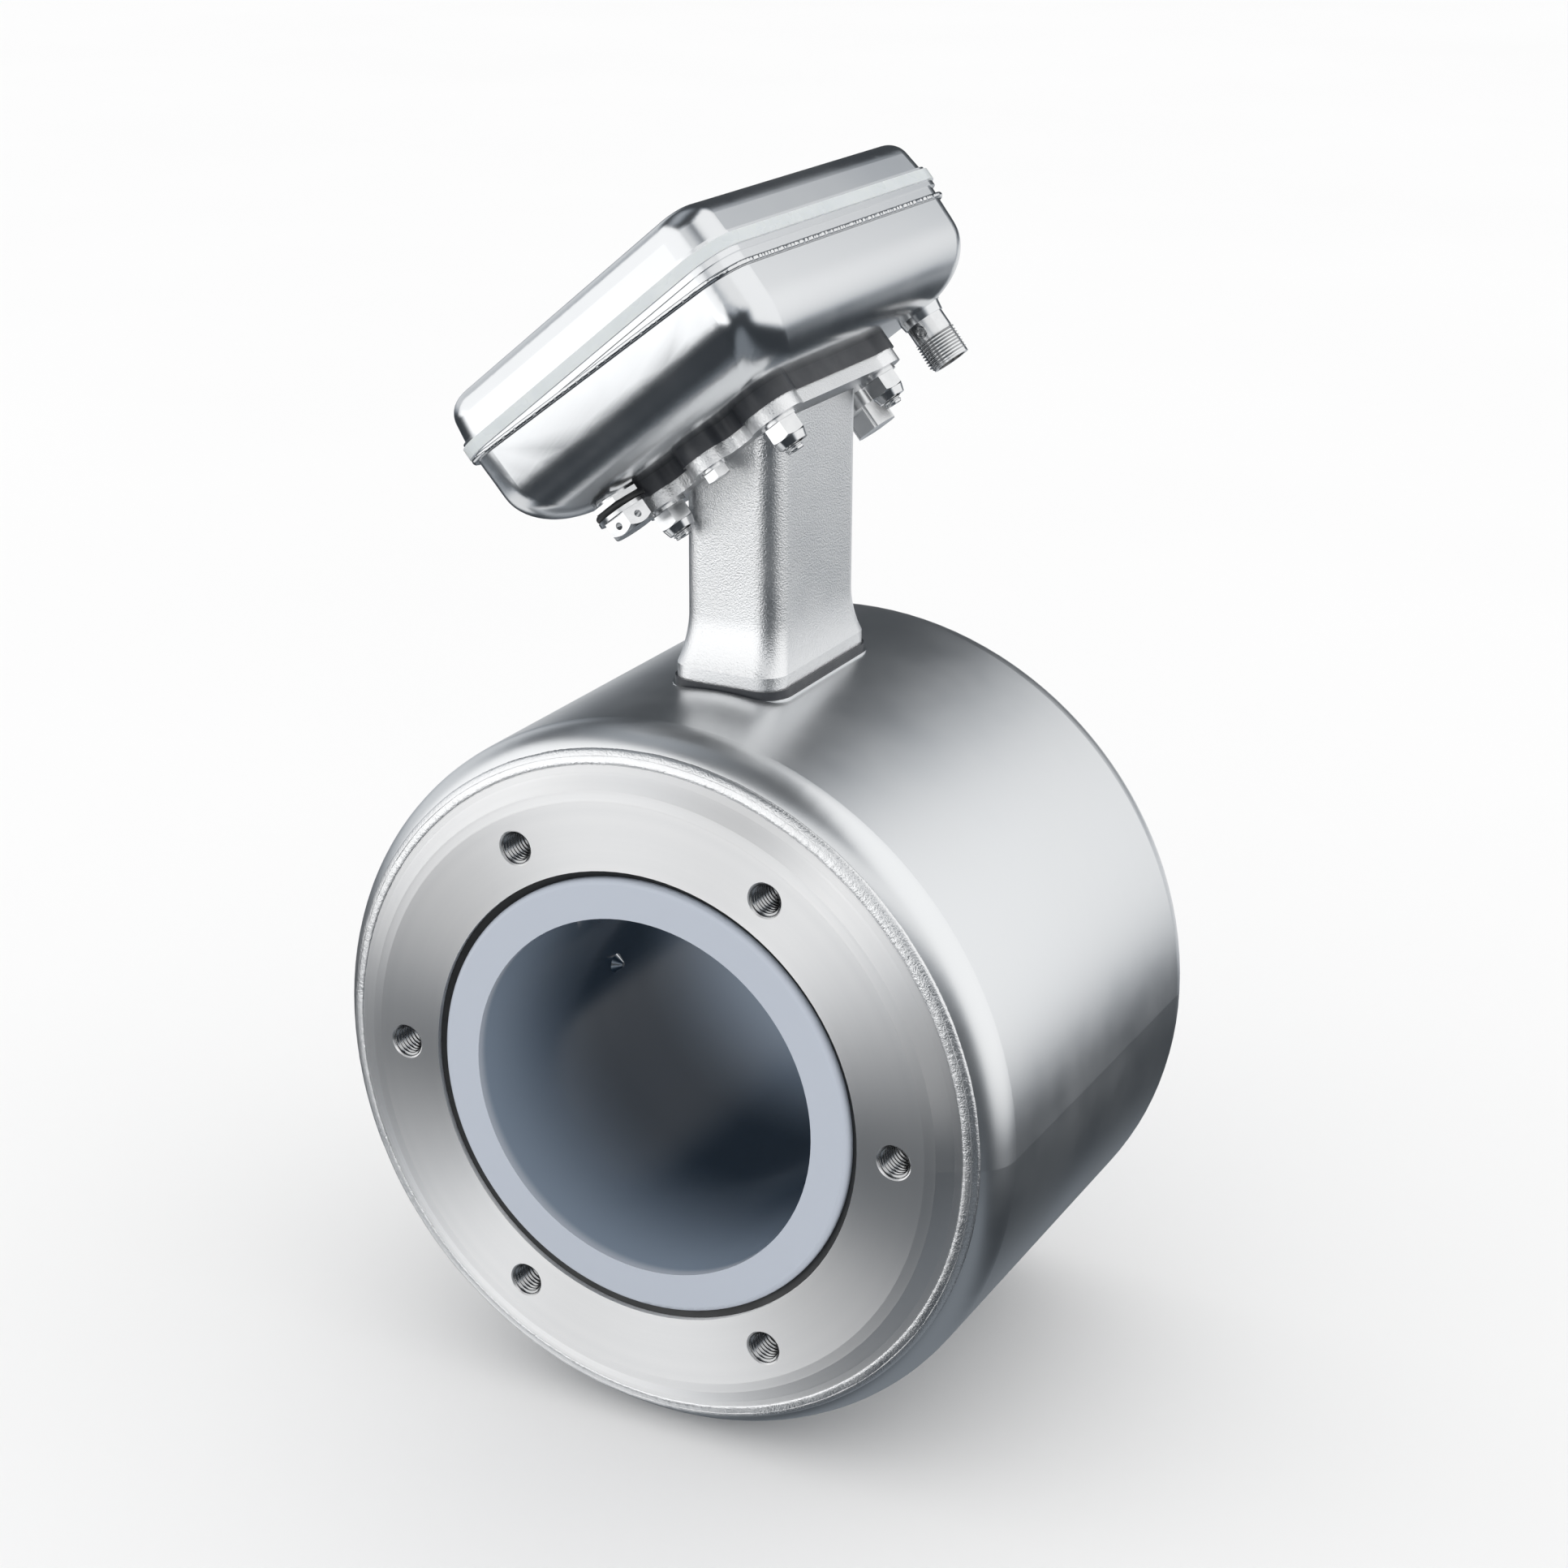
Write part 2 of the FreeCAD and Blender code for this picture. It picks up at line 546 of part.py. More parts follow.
def neck():
    """Hollow casting: flared foot, straight column cut on the slope, lobed flange."""
    low = FOOT_LEVEL + FOOT_HEIGHT
    foot = rounded_block(FOOT_HALF_X, FOOT_HALF_Y, FOOT_CORNER_R, FOOT_LEVEL, FOOT_HEIGHT, 0, MID)
    sections = []
    for rise, out in FLARE:
        half_x = NECK_HALF_X + out * (FOOT_HALF_X - NECK_HALF_X)
        half_y = NECK_HALF_Y + out * (FOOT_HALF_Y - NECK_HALF_Y)
        sections.append(rounded_wire(half_x, half_y, NECK_CORNER_R, low + rise * FLARE_HEIGHT, 0, MID))
    flare = Part.makeLoft(sections, True, False)
    column = rounded_block(NECK_HALF_X, NECK_HALF_Y, NECK_CORNER_R, low + FLARE_HEIGHT, HEAD_Z, 0, MID)
    above = to_body_frame(Part.makeBox(8 * RIM_HALF_X, 8 * RIM_HALF_Y, 4 * HEAD_Z,
                                       Vector(-4 * RIM_HALF_X, -4 * RIM_HALF_Y, FLANGE_TOP)))
    flange = flange_outline(0)
    flange.translate(Vector(0, 0, FLANGE_UNDER))
    plate = to_body_frame(flange.extrude(Vector(0, 0, FLANGE_THICKNESS)))
    hollow = rounded_block(NECK_HALF_X - NECK_WALL, NECK_HALF_Y - NECK_WALL, NECK_CORNER_R - NECK_WALL,
                           FOOT_LEVEL + NECK_FLOOR, 2 * HEAD_Z, 0, MID)
    body = foot.fuse([flare, column]).cut(above).fuse(plate).cut(hollow)
    body = body.cut(bore(CABLE_PORT_R, FOOT_LEVEL, NECK_FLOOR, 0, MID))
    for x, y in foot_screw_places():
        body = body.cut(bore(FOOT_SCREW_R + SCREW_CLEARANCE, FOOT_LEVEL, NECK_FLOOR, x, y))
    for places, radius in ((stud_places(), STUD_R), (small_screw_places(), SMALL_SCREW_R)):
        for x, y in places:
            hole = bore(radius + SCREW_CLEARANCE, FLANGE_UNDER, FLANGE_THICKNESS, x, y)
            body = body.cut(to_body_frame(hole))
    return body.removeSplitter()


def foot_screw(x, y):
    z = FOOT_LEVEL + NECK_FLOOR
    shank = drum(FOOT_SCREW_R, PAD_LEVEL - FOOT_SCREW_GRIP, z - PAD_LEVEL + FOOT_SCREW_GRIP, x, y)
    head = drum(FOOT_SCREW_HEAD_R, z, FOOT_SCREW_HEAD, x, y)
    socket = hexagon(FOOT_SCREW_HEAD_R, z + FOOT_SCREW_HEAD / 2, FOOT_SCREW_HEAD, x, y)
    return head.fuse(shank).cut(socket)


def head_gasket():
    outline = flange_outline(GASKET_LIP)
    outline.translate(Vector(0, 0, FLANGE_TOP))
    gasket = outline.extrude(Vector(0, 0, HEAD_GASKET))
    gasket = gasket.cut(cable_port(FLANGE_TOP, HEAD_GASKET))
    for places, radius in ((stud_places(), STUD_R), (small_screw_places(), SMALL_SCREW_R)):
        for x, y in places:
            gasket = gasket.cut(bore(radius, FLANGE_TOP, HEAD_GASKET, x, y))
    return gasket


# ---- head housing ----
def drafted_cup(half_x, half_y, radius, z, height, draft, edge_r):
    """Solid with drafted sides whose far end (away from z) has a round edge."""
    near = rounded_wire(half_x, half_y, radius, z)
    far = rounded_wire(half_x - draft, half_y - draft, radius, z + height)
    block = Part.makeLoft([near, far], True, True)
    far_edges = [e for e in block.Edges
                 if all(abs(v.Z - (z + height)) < TINY for v in e.Vertexes)]
    return block.makeFillet(edge_r, far_edges)


def rolled_cup(half_x, half_y, radius, depth, draft, edge_r):
    """Deep-drawn form hanging from z = 0: drafted walls that roll over into the floor."""
    straight = depth - edge_r
    sections = [(straight * i / WALL_SECTIONS, 0) for i in range(WALL_SECTIONS)]
    for i in range(EDGE_SECTIONS + 1):
        t = math.radians(90 * i / EDGE_SECTIONS)
        sections.append((straight + edge_r * math.sin(t), edge_r * (1 - math.cos(t))))
    wires = []
    for down, rolled in sections:
        inset = rolled + draft * down / depth
        wires.append(rounded_wire(half_x - inset, half_y - inset, radius, -down))
    return Part.makeLoft(wires, True, False)


def drawn_boss():
    """Short tapered boss drawn out of the tub's floor under the plug."""
    height = BOSS_HEIGHT + TUB_EDGE_R / 2
    return Part.makeCone(BOSS_R, BOSS_R + BOSS_TAPER, height,
                         Vector(CONNECTOR_X, CONNECTOR_Y, FLOOR - BOSS_HEIGHT))


def cable_port(z, height):
    """Cutter for the wiring opening between neck and tub."""
    return rounded_block(PORT_HALF_X, PORT_HALF_Y, PORT_CORNER_R, z - PORT_EXTRA,
                         height + 2 * PORT_EXTRA, FLANGE_X)


def head_tub():
    half_x = RIM_HALF_X - TUB_INSET
    half_y = RIM_HALF_Y - TUB_INSET
    outer = rolled_cup(half_x, half_y, RIM_CORNER_R, TUB_DEPTH, TUB_DRAFT, TUB_EDGE_R)
    inner = rolled_cup(half_x - TUB_WALL, half_y - TUB_WALL, RIM_CORNER_R - TUB_WALL,
                       TUB_DEPTH - TUB_WALL, TUB_DRAFT, TUB_EDGE_R - TUB_WALL)
    rim = rounded_block(half_x + TUB_INSET / 2, half_y + TUB_INSET / 2, RIM_CORNER_R, 0, BEAD_HEIGHT)
    mouth = rounded_block(half_x - TUB_WALL, half_y - TUB_WALL, RIM_CORNER_R - TUB_WALL, -PORT_EXTRA,
                          2 * PORT_EXTRA + BEAD_HEIGHT)
    tub = outer.fuse([rim, drawn_boss()]).cut(inner).cut(mouth)
    seat = drum(CONNECTOR_SEAT_R, FLOOR + TUB_WALL / 2, TUB_WALL / 2 + CONNECTOR_SEAT,
                CONNECTOR_X, CONNECTOR_Y)
    tub = tub.fuse(seat)
    tub = tub.cut(cable_port(FLOOR, TUB_WALL))
    holes = [(x, y, STUD_R) for x, y in stud_places()]
    holes += [(x, y, SMALL_SCREW_R) for x, y in small_screw_places()]
    holes += [(VENT_X, VENT_Y, VENT_NECK_R), (PLUG_X, PLUG_Y, PLUG_NECK_R)]
    for x, y, radius in holes:
        tub = tub.cut(bore(radius, FLOOR, TUB_WALL, x, y))
    tub = tub.cut(bore(CONNECTOR_STEM_R, FLOOR - BOSS_HEIGHT, BOSS_HEIGHT + TUB_WALL + CONNECTOR_SEAT,
                       CONNECTOR_X, CONNECTOR_Y))
    for x, y in lid_screw_places():
        pillar = drum(PILLAR_R, FLOOR, -FLOOR, x, y).common(outer)
        pillar = pillar.fuse(drum(PILLAR_R, 0, BAND_TOP, x, y))
        tub = tub.fuse(pillar).cut(drum(LID_SCREW_R, FLOOR / 2, -FLOOR, x, y))
    return tub


def band_seal():
    band = rounded_block(RIM_HALF_X, RIM_HALF_Y, BAND_CORNER_R, BEAD_HEIGHT, BAND_HEIGHT)
    return band.cut(rounded_block(RIM_HALF_X - BAND_DEPTH, RIM_HALF_Y - BAND_DEPTH,
                                  BAND_CORNER_R - BAND_DEPTH, BEAD_HEIGHT - PORT_EXTRA,
                                  BAND_HEIGHT + 2 * PORT_EXTRA))


def lid_screw_places():
    reach_x = RIM_HALF_X - LID_SCREW_INSET
    reach_y = RIM_HALF_Y - LID_SCREW_INSET
    return [(sx * reach_x, sy * reach_y) for sx in (-1, 1) for sy in (-1, 1)]


def head_lid():
    half_x = RIM_HALF_X - LID_INSET
    half_y = RIM_HALF_Y - LID_INSET
    height = LID_TOP - BAND_TOP
    ledge = rounded_block(RIM_HALF_X - LEDGE_INSET, RIM_HALF_Y - LEDGE_INSET, RIM_CORNER_R, BAND_TOP,
                          LEDGE_HEIGHT)
    outer = drafted_cup(half_x, half_y, RIM_CORNER_R, BAND_TOP, height, LID_DRAFT, LID_EDGE_R)
    inner = drafted_cup(half_x - LID_WALL, half_y - LID_WALL, RIM_CORNER_R - LID_WALL, BAND_TOP,
                        height - LID_WALL, LID_DRAFT, LID_EDGE_R - LID_WALL)
    lid = outer.fuse(ledge).cut(inner)
    lid = lid.cut(rounded_block(WINDOW_HALF_X, WINDOW_HALF_Y, WINDOW_CORNER_R, LID_TOP - WINDOW_GLASS,
                                2 * WINDOW_GLASS))
    lid = lid.cut(rounded_block(WINDOW_HALF_X - WINDOW_LEDGE, WINDOW_HALF_Y - WINDOW_LEDGE,
                                WINDOW_CORNER_R - WINDOW_LEDGE / 2, BAND_TOP, LID_TOP))
    for x, y in lid_screw_places():
        post = drum(PILLAR_R, BAND_TOP, LID_TOP - BAND_TOP, x, y).common(outer)
        head_hole = drum(LID_SCREW_HEAD_R, LID_TOP - LID_SCREW_HEAD, 2 * LID_SCREW_HEAD, x, y)
        lid = lid.fuse(post).cut(bore(LID_SCREW_R, BAND_TOP, LID_TOP, x, y)).cut(head_hole)
    return lid


def lid_screws():
    screws = []
    for x, y in lid_screw_places():
        head = drum(LID_SCREW_HEAD_R, LID_TOP - LID_SCREW_HEAD, LID_SCREW_HEAD, x, y)
        end = BAND_TOP - LID_SCREW_GRIP
        shank = drum(LID_SCREW_R, end, LID_TOP - LID_SCREW_HEAD - end, x, y)
        socket = hexagon(LID_SCREW_HEAD_R, LID_TOP - LID_SCREW_HEAD / 2, LID_SCREW_HEAD, x, y)
        screws.append(head.fuse(shank).cut(socket))
    return Part.makeCompound(screws)


def window():
    return rounded_block(WINDOW_HALF_X, WINDOW_HALF_Y, WINDOW_CORNER_R, LID_TOP - WINDOW_GLASS,
                         WINDOW_GLASS)


# ---- inside the head ----
def standoff_places():
    x = BOARD_HALF_X - STANDOFF_INSET
    return [(sx * x, sy * STANDOFF_PITCH_Y / 2) for sx in (-1, 1) for sy in (-1, 1)]


def standoffs():
    foot = FLOOR + TUB_WALL
    length = BOARD_LEVEL - foot
    return Part.makeCompound([drum(STANDOFF_R, foot, length, x, y) for x, y in standoff_places()])


def main_board():
    return rounded_block(BOARD_HALF_X, BOARD_HALF_Y, BOARD_CORNER_R, BOARD_LEVEL, BOARD_THICKNESS)


def display_module():
    inset = WINDOW_LEDGE + MODULE_CLEARANCE
    foot = BOARD_LEVEL + BOARD_THICKNESS
    return rounded_block(WINDOW_HALF_X - inset, WINDOW_HALF_Y - inset, BOARD_CORNER_R, foot,
                         LID_TOP - WINDOW_GLASS - foot)


# ---- fasteners between head and neck ----
def stud(x, y):
    """Threaded stud with a flat head inside the tub."""
    top = FLOOR + TUB_WALL
    end = FLANGE_UNDER - WASHER_THICKNESS - NUT_HEIGHT - NUT_DOME - STUD_STICK_OUT
    return drum(STUD_HEAD_R, top, STUD_HEAD, x, y).fuse(drum(STUD_R, end, top - end, x, y))


def washer(x, y):
    ring = drum(WASHER_R, FLANGE_UNDER - WASHER_THICKNESS, WASHER_THICKNESS, x, y)
    return ring.cut(bore(STUD_R, FLANGE_UNDER - WASHER_THICKNESS, WASHER_THICKNESS, x, y))


def lock_nut(x, y):
    """Hexagon nut with the round collar that holds its locking ring."""
    top = FLANGE_UNDER - WASHER_THICKNESS
    nut = chamfered_hexagon(NUT_FLATS, top - NUT_HEIGHT, NUT_HEIGHT, x, y, False, True)
    low = top - NUT_HEIGHT - NUT_DOME
    collar = Part.makeCone(NUT_DOME_R, NUT_FLATS / 2, NUT_DOME, Vector(x, y, low))
    return nut.fuse(collar).cut(bore(STUD_R, low, NUT_HEIGHT + NUT_DOME, x, y))


def small_washer(x, y):
    ring = drum(SMALL_WASHER_R, FLANGE_UNDER - SMALL_WASHER, SMALL_WASHER, x, y)
    return ring.cut(bore(SMALL_SCREW_R, FLANGE_UNDER - SMALL_WASHER, SMALL_WASHER, x, y))


def small_screw(x, y):
    seat = FLANGE_UNDER - SMALL_WASHER
    head = chamfered_hexagon(SMALL_SCREW_FLATS, seat - SMALL_SCREW_HEAD, SMALL_SCREW_HEAD, x, y,
                             False, True)
    return head.fuse(drum(SMALL_SCREW_R, seat, FLOOR + TUB_WALL - seat, x, y))


# ---- fittings under the head ----
def vent_plug():
    """Pressure-balance plug: neck with a thin nut, collar, hexagon with a vent hole in each flat."""
    collar_z = FLOOR - VENT_NECK - VENT_COLLAR
    hex_z = collar_z - VENT_HEX
    x, y = VENT_X, VENT_Y
    plug = drum(VENT_NECK_R, collar_z, FLOOR + TUB_WALL - collar_z, x, y)
    plug = plug.fuse(drum(VENT_COLLAR_R, collar_z, VENT_COLLAR, x, y))
    nut_z = collar_z + VENT_COLLAR + 2 * RING_SECTION_R
    plug = plug.fuse(hexagon(VENT_NUT_FLATS, nut_z, VENT_NUT, x, y))
    plug = plug.fuse(chamfered_hexagon(VENT_FLATS, hex_z, VENT_HEX, x, y, False, True, VENT_CHAMFER))
    plug = plug.cut(drum(VENT_BORE_R, collar_z, 2 * TUB_DEPTH, x, y))
    for i in range(6):
        t = math.radians(60 * i + 30)
        out = Vector(math.cos(t), math.sin(t), 0)
        mouth = Vector(x, y, hex_z + VENT_HEX / 2) + out * (VENT_FLATS / 2 + PORT_EXTRA)
        plug = plug.cut(Part.makeCylinder(VENT_HOLE_R, VENT_HOLE_DEPTH + PORT_EXTRA, mouth, out * -1))
    return plug


def sealing_ring(neck_r, under, x, y):
    """Round ring round a neck, lying on the collar at the level under."""
    return Part.makeTorus(neck_r + RING_SECTION_R, RING_SECTION_R, Vector(x, y, under + RING_SECTION_R))


def blanking_plug():
    """Long-barrelled blanking plug with grooved corners on its hexagon."""
    x, y = PLUG_X, PLUG_Y
    barrel_top = FLOOR - 2 * RING_SECTION_R
    hex_top = barrel_top - PLUG_BARREL
    plug = drum(PLUG_NECK_R, barrel_top, FLOOR + TUB_WALL - barrel_top, x, y)
    plug = plug.fuse(drum(PLUG_BARREL_R, hex_top, PLUG_BARREL, x, y))
    plug = plug.fuse(hexagon(PLUG_FLATS, hex_top - PLUG_HEX, PLUG_HEX, x, y))
    for i in range(6):
        t = math.radians(60 * i)
        corner = PLUG_FLATS / math.sqrt(3)
        groove = bore(PLUG_NOTCH / 2, hex_top - PLUG_HEX, PLUG_HEX,
                      x + corner * math.cos(t), y + corner * math.sin(t))
        plug = plug.cut(groove)
    return plug


def connector_body():
    """Male M12 panel plug: stem through the tub, collar on the boss, threaded sleeve."""
    x, y = CONNECTOR_X, CONNECTOR_Y
    seat = FLOOR - BOSS_HEIGHT
    low = seat - CONNECTOR_BODY
    end = low - CONNECTOR_THREAD
    body = drum(CONNECTOR_STEM_R, seat, BOSS_HEIGHT + TUB_WALL + CONNECTOR_SEAT + CONNECTOR_NUT, x, y)
    body = body.fuse(drum(CONNECTOR_BODY_R, low, CONNECTOR_BODY, x, y))
    body = body.fuse(drum(CONNECTOR_R, end, CONNECTOR_THREAD, x, y))
    socket = drum(CONNECTOR_R - CONNECTOR_WALL, end - PORT_EXTRA,
                  PORT_EXTRA + CONNECTOR_SOCKET + INSERT_THICKNESS, x, y)
    return body.cut(socket)


def connector_insert():
    """Contact carrier at the bottom of the plug's socket."""
    x, y = CONNECTOR_X, CONNECTOR_Y
    end = FLOOR - BOSS_HEIGHT - CONNECTOR_BODY - CONNECTOR_THREAD
    carrier = drum(CONNECTOR_R - CONNECTOR_WALL, end + CONNECTOR_SOCKET, INSERT_THICKNESS, x, y)
    for px, py in pin_places():
        carrier = carrier.cut(bore(PIN_R, end + CONNECTOR_SOCKET, INSERT_THICKNESS, px, py))
    return carrier


def pin_places():
    places = []
    for i in range(PIN_COUNT):
        t = math.radians(45 + i * 360 / PIN_COUNT)
        places.append((CONNECTOR_X + PIN_CIRCLE_R * math.cos(t),
                       CONNECTOR_Y + PIN_CIRCLE_R * math.sin(t)))
    return places


def connector_pins():
    root = FLOOR - BOSS_HEIGHT - CONNECTOR_BODY - CONNECTOR_THREAD + CONNECTOR_SOCKET + INSERT_THICKNESS
    length = PIN_LENGTH + INSERT_THICKNESS
    return Part.makeCompound([drum(PIN_R, root - length, length, x, y) for x, y in pin_places()])


def connector_nut():
    z = FLOOR + TUB_WALL + CONNECTOR_SEAT
    nut = chamfered_hexagon(CONNECTOR_NUT_FLATS, z, CONNECTOR_NUT, CONNECTOR_X, CONNECTOR_Y, True, False)
    return nut.cut(bore(CONNECTOR_STEM_R, z, CONNECTOR_NUT, CONNECTOR_X, CONNECTOR_Y))


def build():
    inlet = end_ring()
    seal = face_seal()
    keep("outer_shell", outer_shell())
    keep("inlet_ring", inlet)
    keep("outlet_ring", mirrored_to_outlet(inlet))
    keep("measuring_tube", measuring_tube())
    keep("liner", liner())
    keep("inlet_seal", seal)
    keep("outlet_seal", mirrored_to_outlet(seal))
    for name, middle in (("upper", 90), ("lower", -90)):
        keep(name + "_coil", saddle_coil(middle))
        keep(name + "_pole_shoe", pole_shoe(middle))
    keep("flux_band", flux_band())
    for name, side in (("left", -1), ("right", 1)):
        keep(name + "_electrode", electrode(side))
        keep(name + "_electrode_bush", electrode_bush(side))
        keep(name + "_electrode_nut", electrode_nut(side))
    keep("neck_gasket", neck_gasket())
    keep("neck", neck())
    for i, (x, y) in enumerate(foot_screw_places()):
        keep("foot_screw_%d" % (i + 1), foot_screw(x, y))
    keep_in_head("head_gasket", head_gasket())
    keep_in_head("head_tub", head_tub())
    keep_in_head("band_seal", band_seal())
    keep_in_head("head_lid", head_lid())
    keep_in_head("lid_screws", lid_screws())
    keep_in_head("window", window())
    keep_in_head("standoffs", standoffs())
    keep_in_head("main_board", main_board())
    keep_in_head("display_module", display_module())
    for i, (x, y) in enumerate(stud_places()):
        keep_in_head("stud_%d" % (i + 1), stud(x, y))
        keep_in_head("washer_%d" % (i + 1), washer(x, y))
        keep_in_head("lock_nut_%d" % (i + 1), lock_nut(x, y))
    for i, (x, y) in enumerate(small_screw_places()):
        keep_in_head("small_screw_%d" % (i + 1), small_screw(x, y))
        keep_in_head("small_washer_%d" % (i + 1), small_washer(x, y))
    keep_in_head("vent_plug", vent_plug())
    keep_in_head("vent_ring", sealing_ring(VENT_NECK_R, FLOOR - VENT_NECK, VENT_X, VENT_Y))
    keep_in_head("blanking_plug", blanking_plug())
    keep_in_head("plug_ring", sealing_ring(PLUG_NECK_R, FLOOR - 2 * RING_SECTION_R, PLUG_X, PLUG_Y))
    keep_in_head("connector_body", connector_body())
    keep_in_head("connector_insert", connector_insert())
    keep_in_head("connector_pins", connector_pins())
    keep_in_head("connector_nut", connector_nut())


os.makedirs("parts", exist_ok=True)
build()
for name, shape in NODES.items():
    shape.exportStep(os.path.join("parts", name + ".step"))
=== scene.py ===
import json
import math

import bmesh
import bpy
from mathutils import Matrix, Vector, noise

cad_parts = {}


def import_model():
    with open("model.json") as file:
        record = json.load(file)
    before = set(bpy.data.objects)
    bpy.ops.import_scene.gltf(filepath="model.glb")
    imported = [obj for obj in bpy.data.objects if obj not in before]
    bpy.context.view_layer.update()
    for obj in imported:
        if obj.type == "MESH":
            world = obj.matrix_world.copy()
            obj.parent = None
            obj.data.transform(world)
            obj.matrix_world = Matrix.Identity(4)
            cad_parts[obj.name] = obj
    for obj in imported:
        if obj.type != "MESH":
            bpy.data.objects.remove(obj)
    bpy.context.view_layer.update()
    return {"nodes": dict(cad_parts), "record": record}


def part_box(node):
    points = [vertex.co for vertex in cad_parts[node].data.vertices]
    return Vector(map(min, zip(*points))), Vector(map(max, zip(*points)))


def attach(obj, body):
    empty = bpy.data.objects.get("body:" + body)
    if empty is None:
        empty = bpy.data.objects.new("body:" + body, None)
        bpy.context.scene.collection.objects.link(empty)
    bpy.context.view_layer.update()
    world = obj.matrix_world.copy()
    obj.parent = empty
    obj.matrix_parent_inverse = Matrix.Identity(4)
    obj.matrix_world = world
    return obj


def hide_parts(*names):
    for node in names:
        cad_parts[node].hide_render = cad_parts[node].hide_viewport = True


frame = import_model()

NODES = frame["nodes"]
MM = 0.001
FLOW = Vector((0, 1, 0))


# ---- where things are, read from the frame ----
def centre(node):
    low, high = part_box(node)
    return (low + high) / 2


BODY_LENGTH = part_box("outlet_ring")[1].y
SHELL_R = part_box("outer_shell")[1].x
HEAD_UP = (centre("washer_1") - centre("lock_nut_1")).normalized()
HEAD_ACROSS = FLOW.cross(HEAD_UP)


def reach(node, axis):
    """How far a node reaches along an axis: (least, most)."""
    spans = [v.co.dot(axis) for v in NODES[node].data.vertices]
    return min(spans), max(spans)


def on_head_axis(node, level):
    """Point straight above or below a node's centre, along HEAD_UP, at a level."""
    middle = centre(node)
    return middle + HEAD_UP * (level - middle.dot(HEAD_UP))


def seat_matrix(origin, up, across):
    """Local frame with +Z along up and +X along across."""
    side = up.cross(across).normalized()
    rows = Matrix((across.normalized(), side, up.normalized())).transposed().to_4x4()
    return Matrix.Translation(origin) @ rows


# ---- node trees ----
class Nodes:
    """Adds nodes to one node tree."""

    def __init__(self, tree):
        self.tree = tree

    def add(self, kind, **settings):
        made = self.tree.nodes.new(kind)
        for key, value in settings.items():
            setattr(made, key, value)
        return made

    def link(self, source, target):
        self.tree.links.new(source, target)

    def math(self, operation, a, b=0.0):
        made = self.add("ShaderNodeMath", operation=operation)
        for socket, value in zip(made.inputs, (a, b)):
            if isinstance(value, (int, float)):
                socket.default_value = value
            else:
                self.link(value, socket)
        return made.outputs["Value"]

    def along(self, source, axis):
        """How far a vector socket reaches along a fixed axis."""
        made = self.add("ShaderNodeVectorMath", operation="DOT_PRODUCT")
        self.link(source, made.inputs[0])
        made.inputs[1].default_value = axis
        return made.outputs["Value"]

    def ramp(self, source, low, high, out_low=0.0, out_high=1.0):
        made = self.add("ShaderNodeMapRange", interpolation_type="SMOOTHSTEP")
        names = ("From Min", "From Max", "To Min", "To Max")
        for key, value in zip(names, (low, high, out_low, out_high)):
            made.inputs[key].default_value = value
        self.link(source, made.inputs["Value"])
        return made.outputs["Result"]

    def mix(self, factor, first, second):
        """Blend of two colours, each given as three numbers or as a socket."""
        made = self.add("ShaderNodeMix", data_type="RGBA")
        for key, value in (("A", first), ("B", second)):
            if isinstance(value, tuple):
                made.inputs[key].default_value = (*value, 1)
            else:
                self.link(value, made.inputs[key])
        self.link(factor, made.inputs["Factor"])
        return made.outputs["Result"]


# ---- materials ----
# Nearly all values of a noise texture lie in this span.
NOISE_SPAN = (0.3, 0.7)


class Build(Nodes):
    """One material: its shader, and the place in space that its patterns read."""

    def __init__(self, name):
        self.material = bpy.data.materials.new(name)
        self.material.use_nodes = True
        super().__init__(self.material.node_tree)
        self.shader = self.tree.nodes["Principled BSDF"]
        self.place = self.add("ShaderNodeTexCoord").outputs["Object"]

    def set(self, **values):
        for key, value in values.items():
            self.shader.inputs[key.replace("_", " ")].default_value = value

    def mapped(self, source, **settings):
        made = self.add("ShaderNodeMapping")
        for key, value in settings.items():
            made.inputs[key].default_value = value
        self.link(source, made.inputs["Vector"])
        return made.outputs["Vector"]

    def noise(self, scale, detail=3.0, rough=0.5, vector=None):
        made = self.add("ShaderNodeTexNoise")
        made.inputs["Scale"].default_value = scale
        made.inputs["Detail"].default_value = detail
        made.inputs["Roughness"].default_value = rough
        self.link(vector or self.place, made.inputs["Vector"])
        return made.outputs["Fac"]

    def split(self):
        """X, Y and Z of the place."""
        made = self.add("ShaderNodeSeparateXYZ")
        self.link(self.place, made.inputs["Vector"])
        return made.outputs

    def colour(self, source, dark, light):
        self.link(self.mix(source, dark, light), self.shader.inputs["Base Color"])

    def rough(self, source, low, high):
        self.link(self.ramp(source, *NOISE_SPAN, low, high), self.shader.inputs["Roughness"])

    def bump(self, *layers):
        """Each layer is (height source, depth in metres, strength)."""
        previous = None
        for height, depth, strength in layers:
            made = self.add("ShaderNodeBump")
            made.inputs["Distance"].default_value = depth
            made.inputs["Strength"].default_value = strength
            self.link(height, made.inputs["Height"])
            if previous:
                self.link(previous, made.inputs["Normal"])
            previous = made.outputs["Normal"]
        self.link(previous, self.shader.inputs["Normal"])


def grained_steel(name, dark, light, rough, depth, strength, drift):
    """Blasted or satin steel: fine grain in the bump, slow drift in tone and gloss."""
    m = Build(name)
    m.set(Metallic=1.0)
    slow = m.noise(drift, detail=4.0, rough=0.6)
    m.colour(slow, dark, light)
    m.rough(slow, *rough)
    m.bump((m.noise(1900, detail=2.0, rough=0.6), depth, strength))
    return m.material


# The tub's walls have a slight belly. It grows with the square of the distance below
# the sealing band, in metres per square metre, and bends the shading, not the mesh.
BULGE = 1.35
# Squeezed along the drawing direction, the noise turns into streaks.
STREAK_SCALE = (1, 1, 0.04)


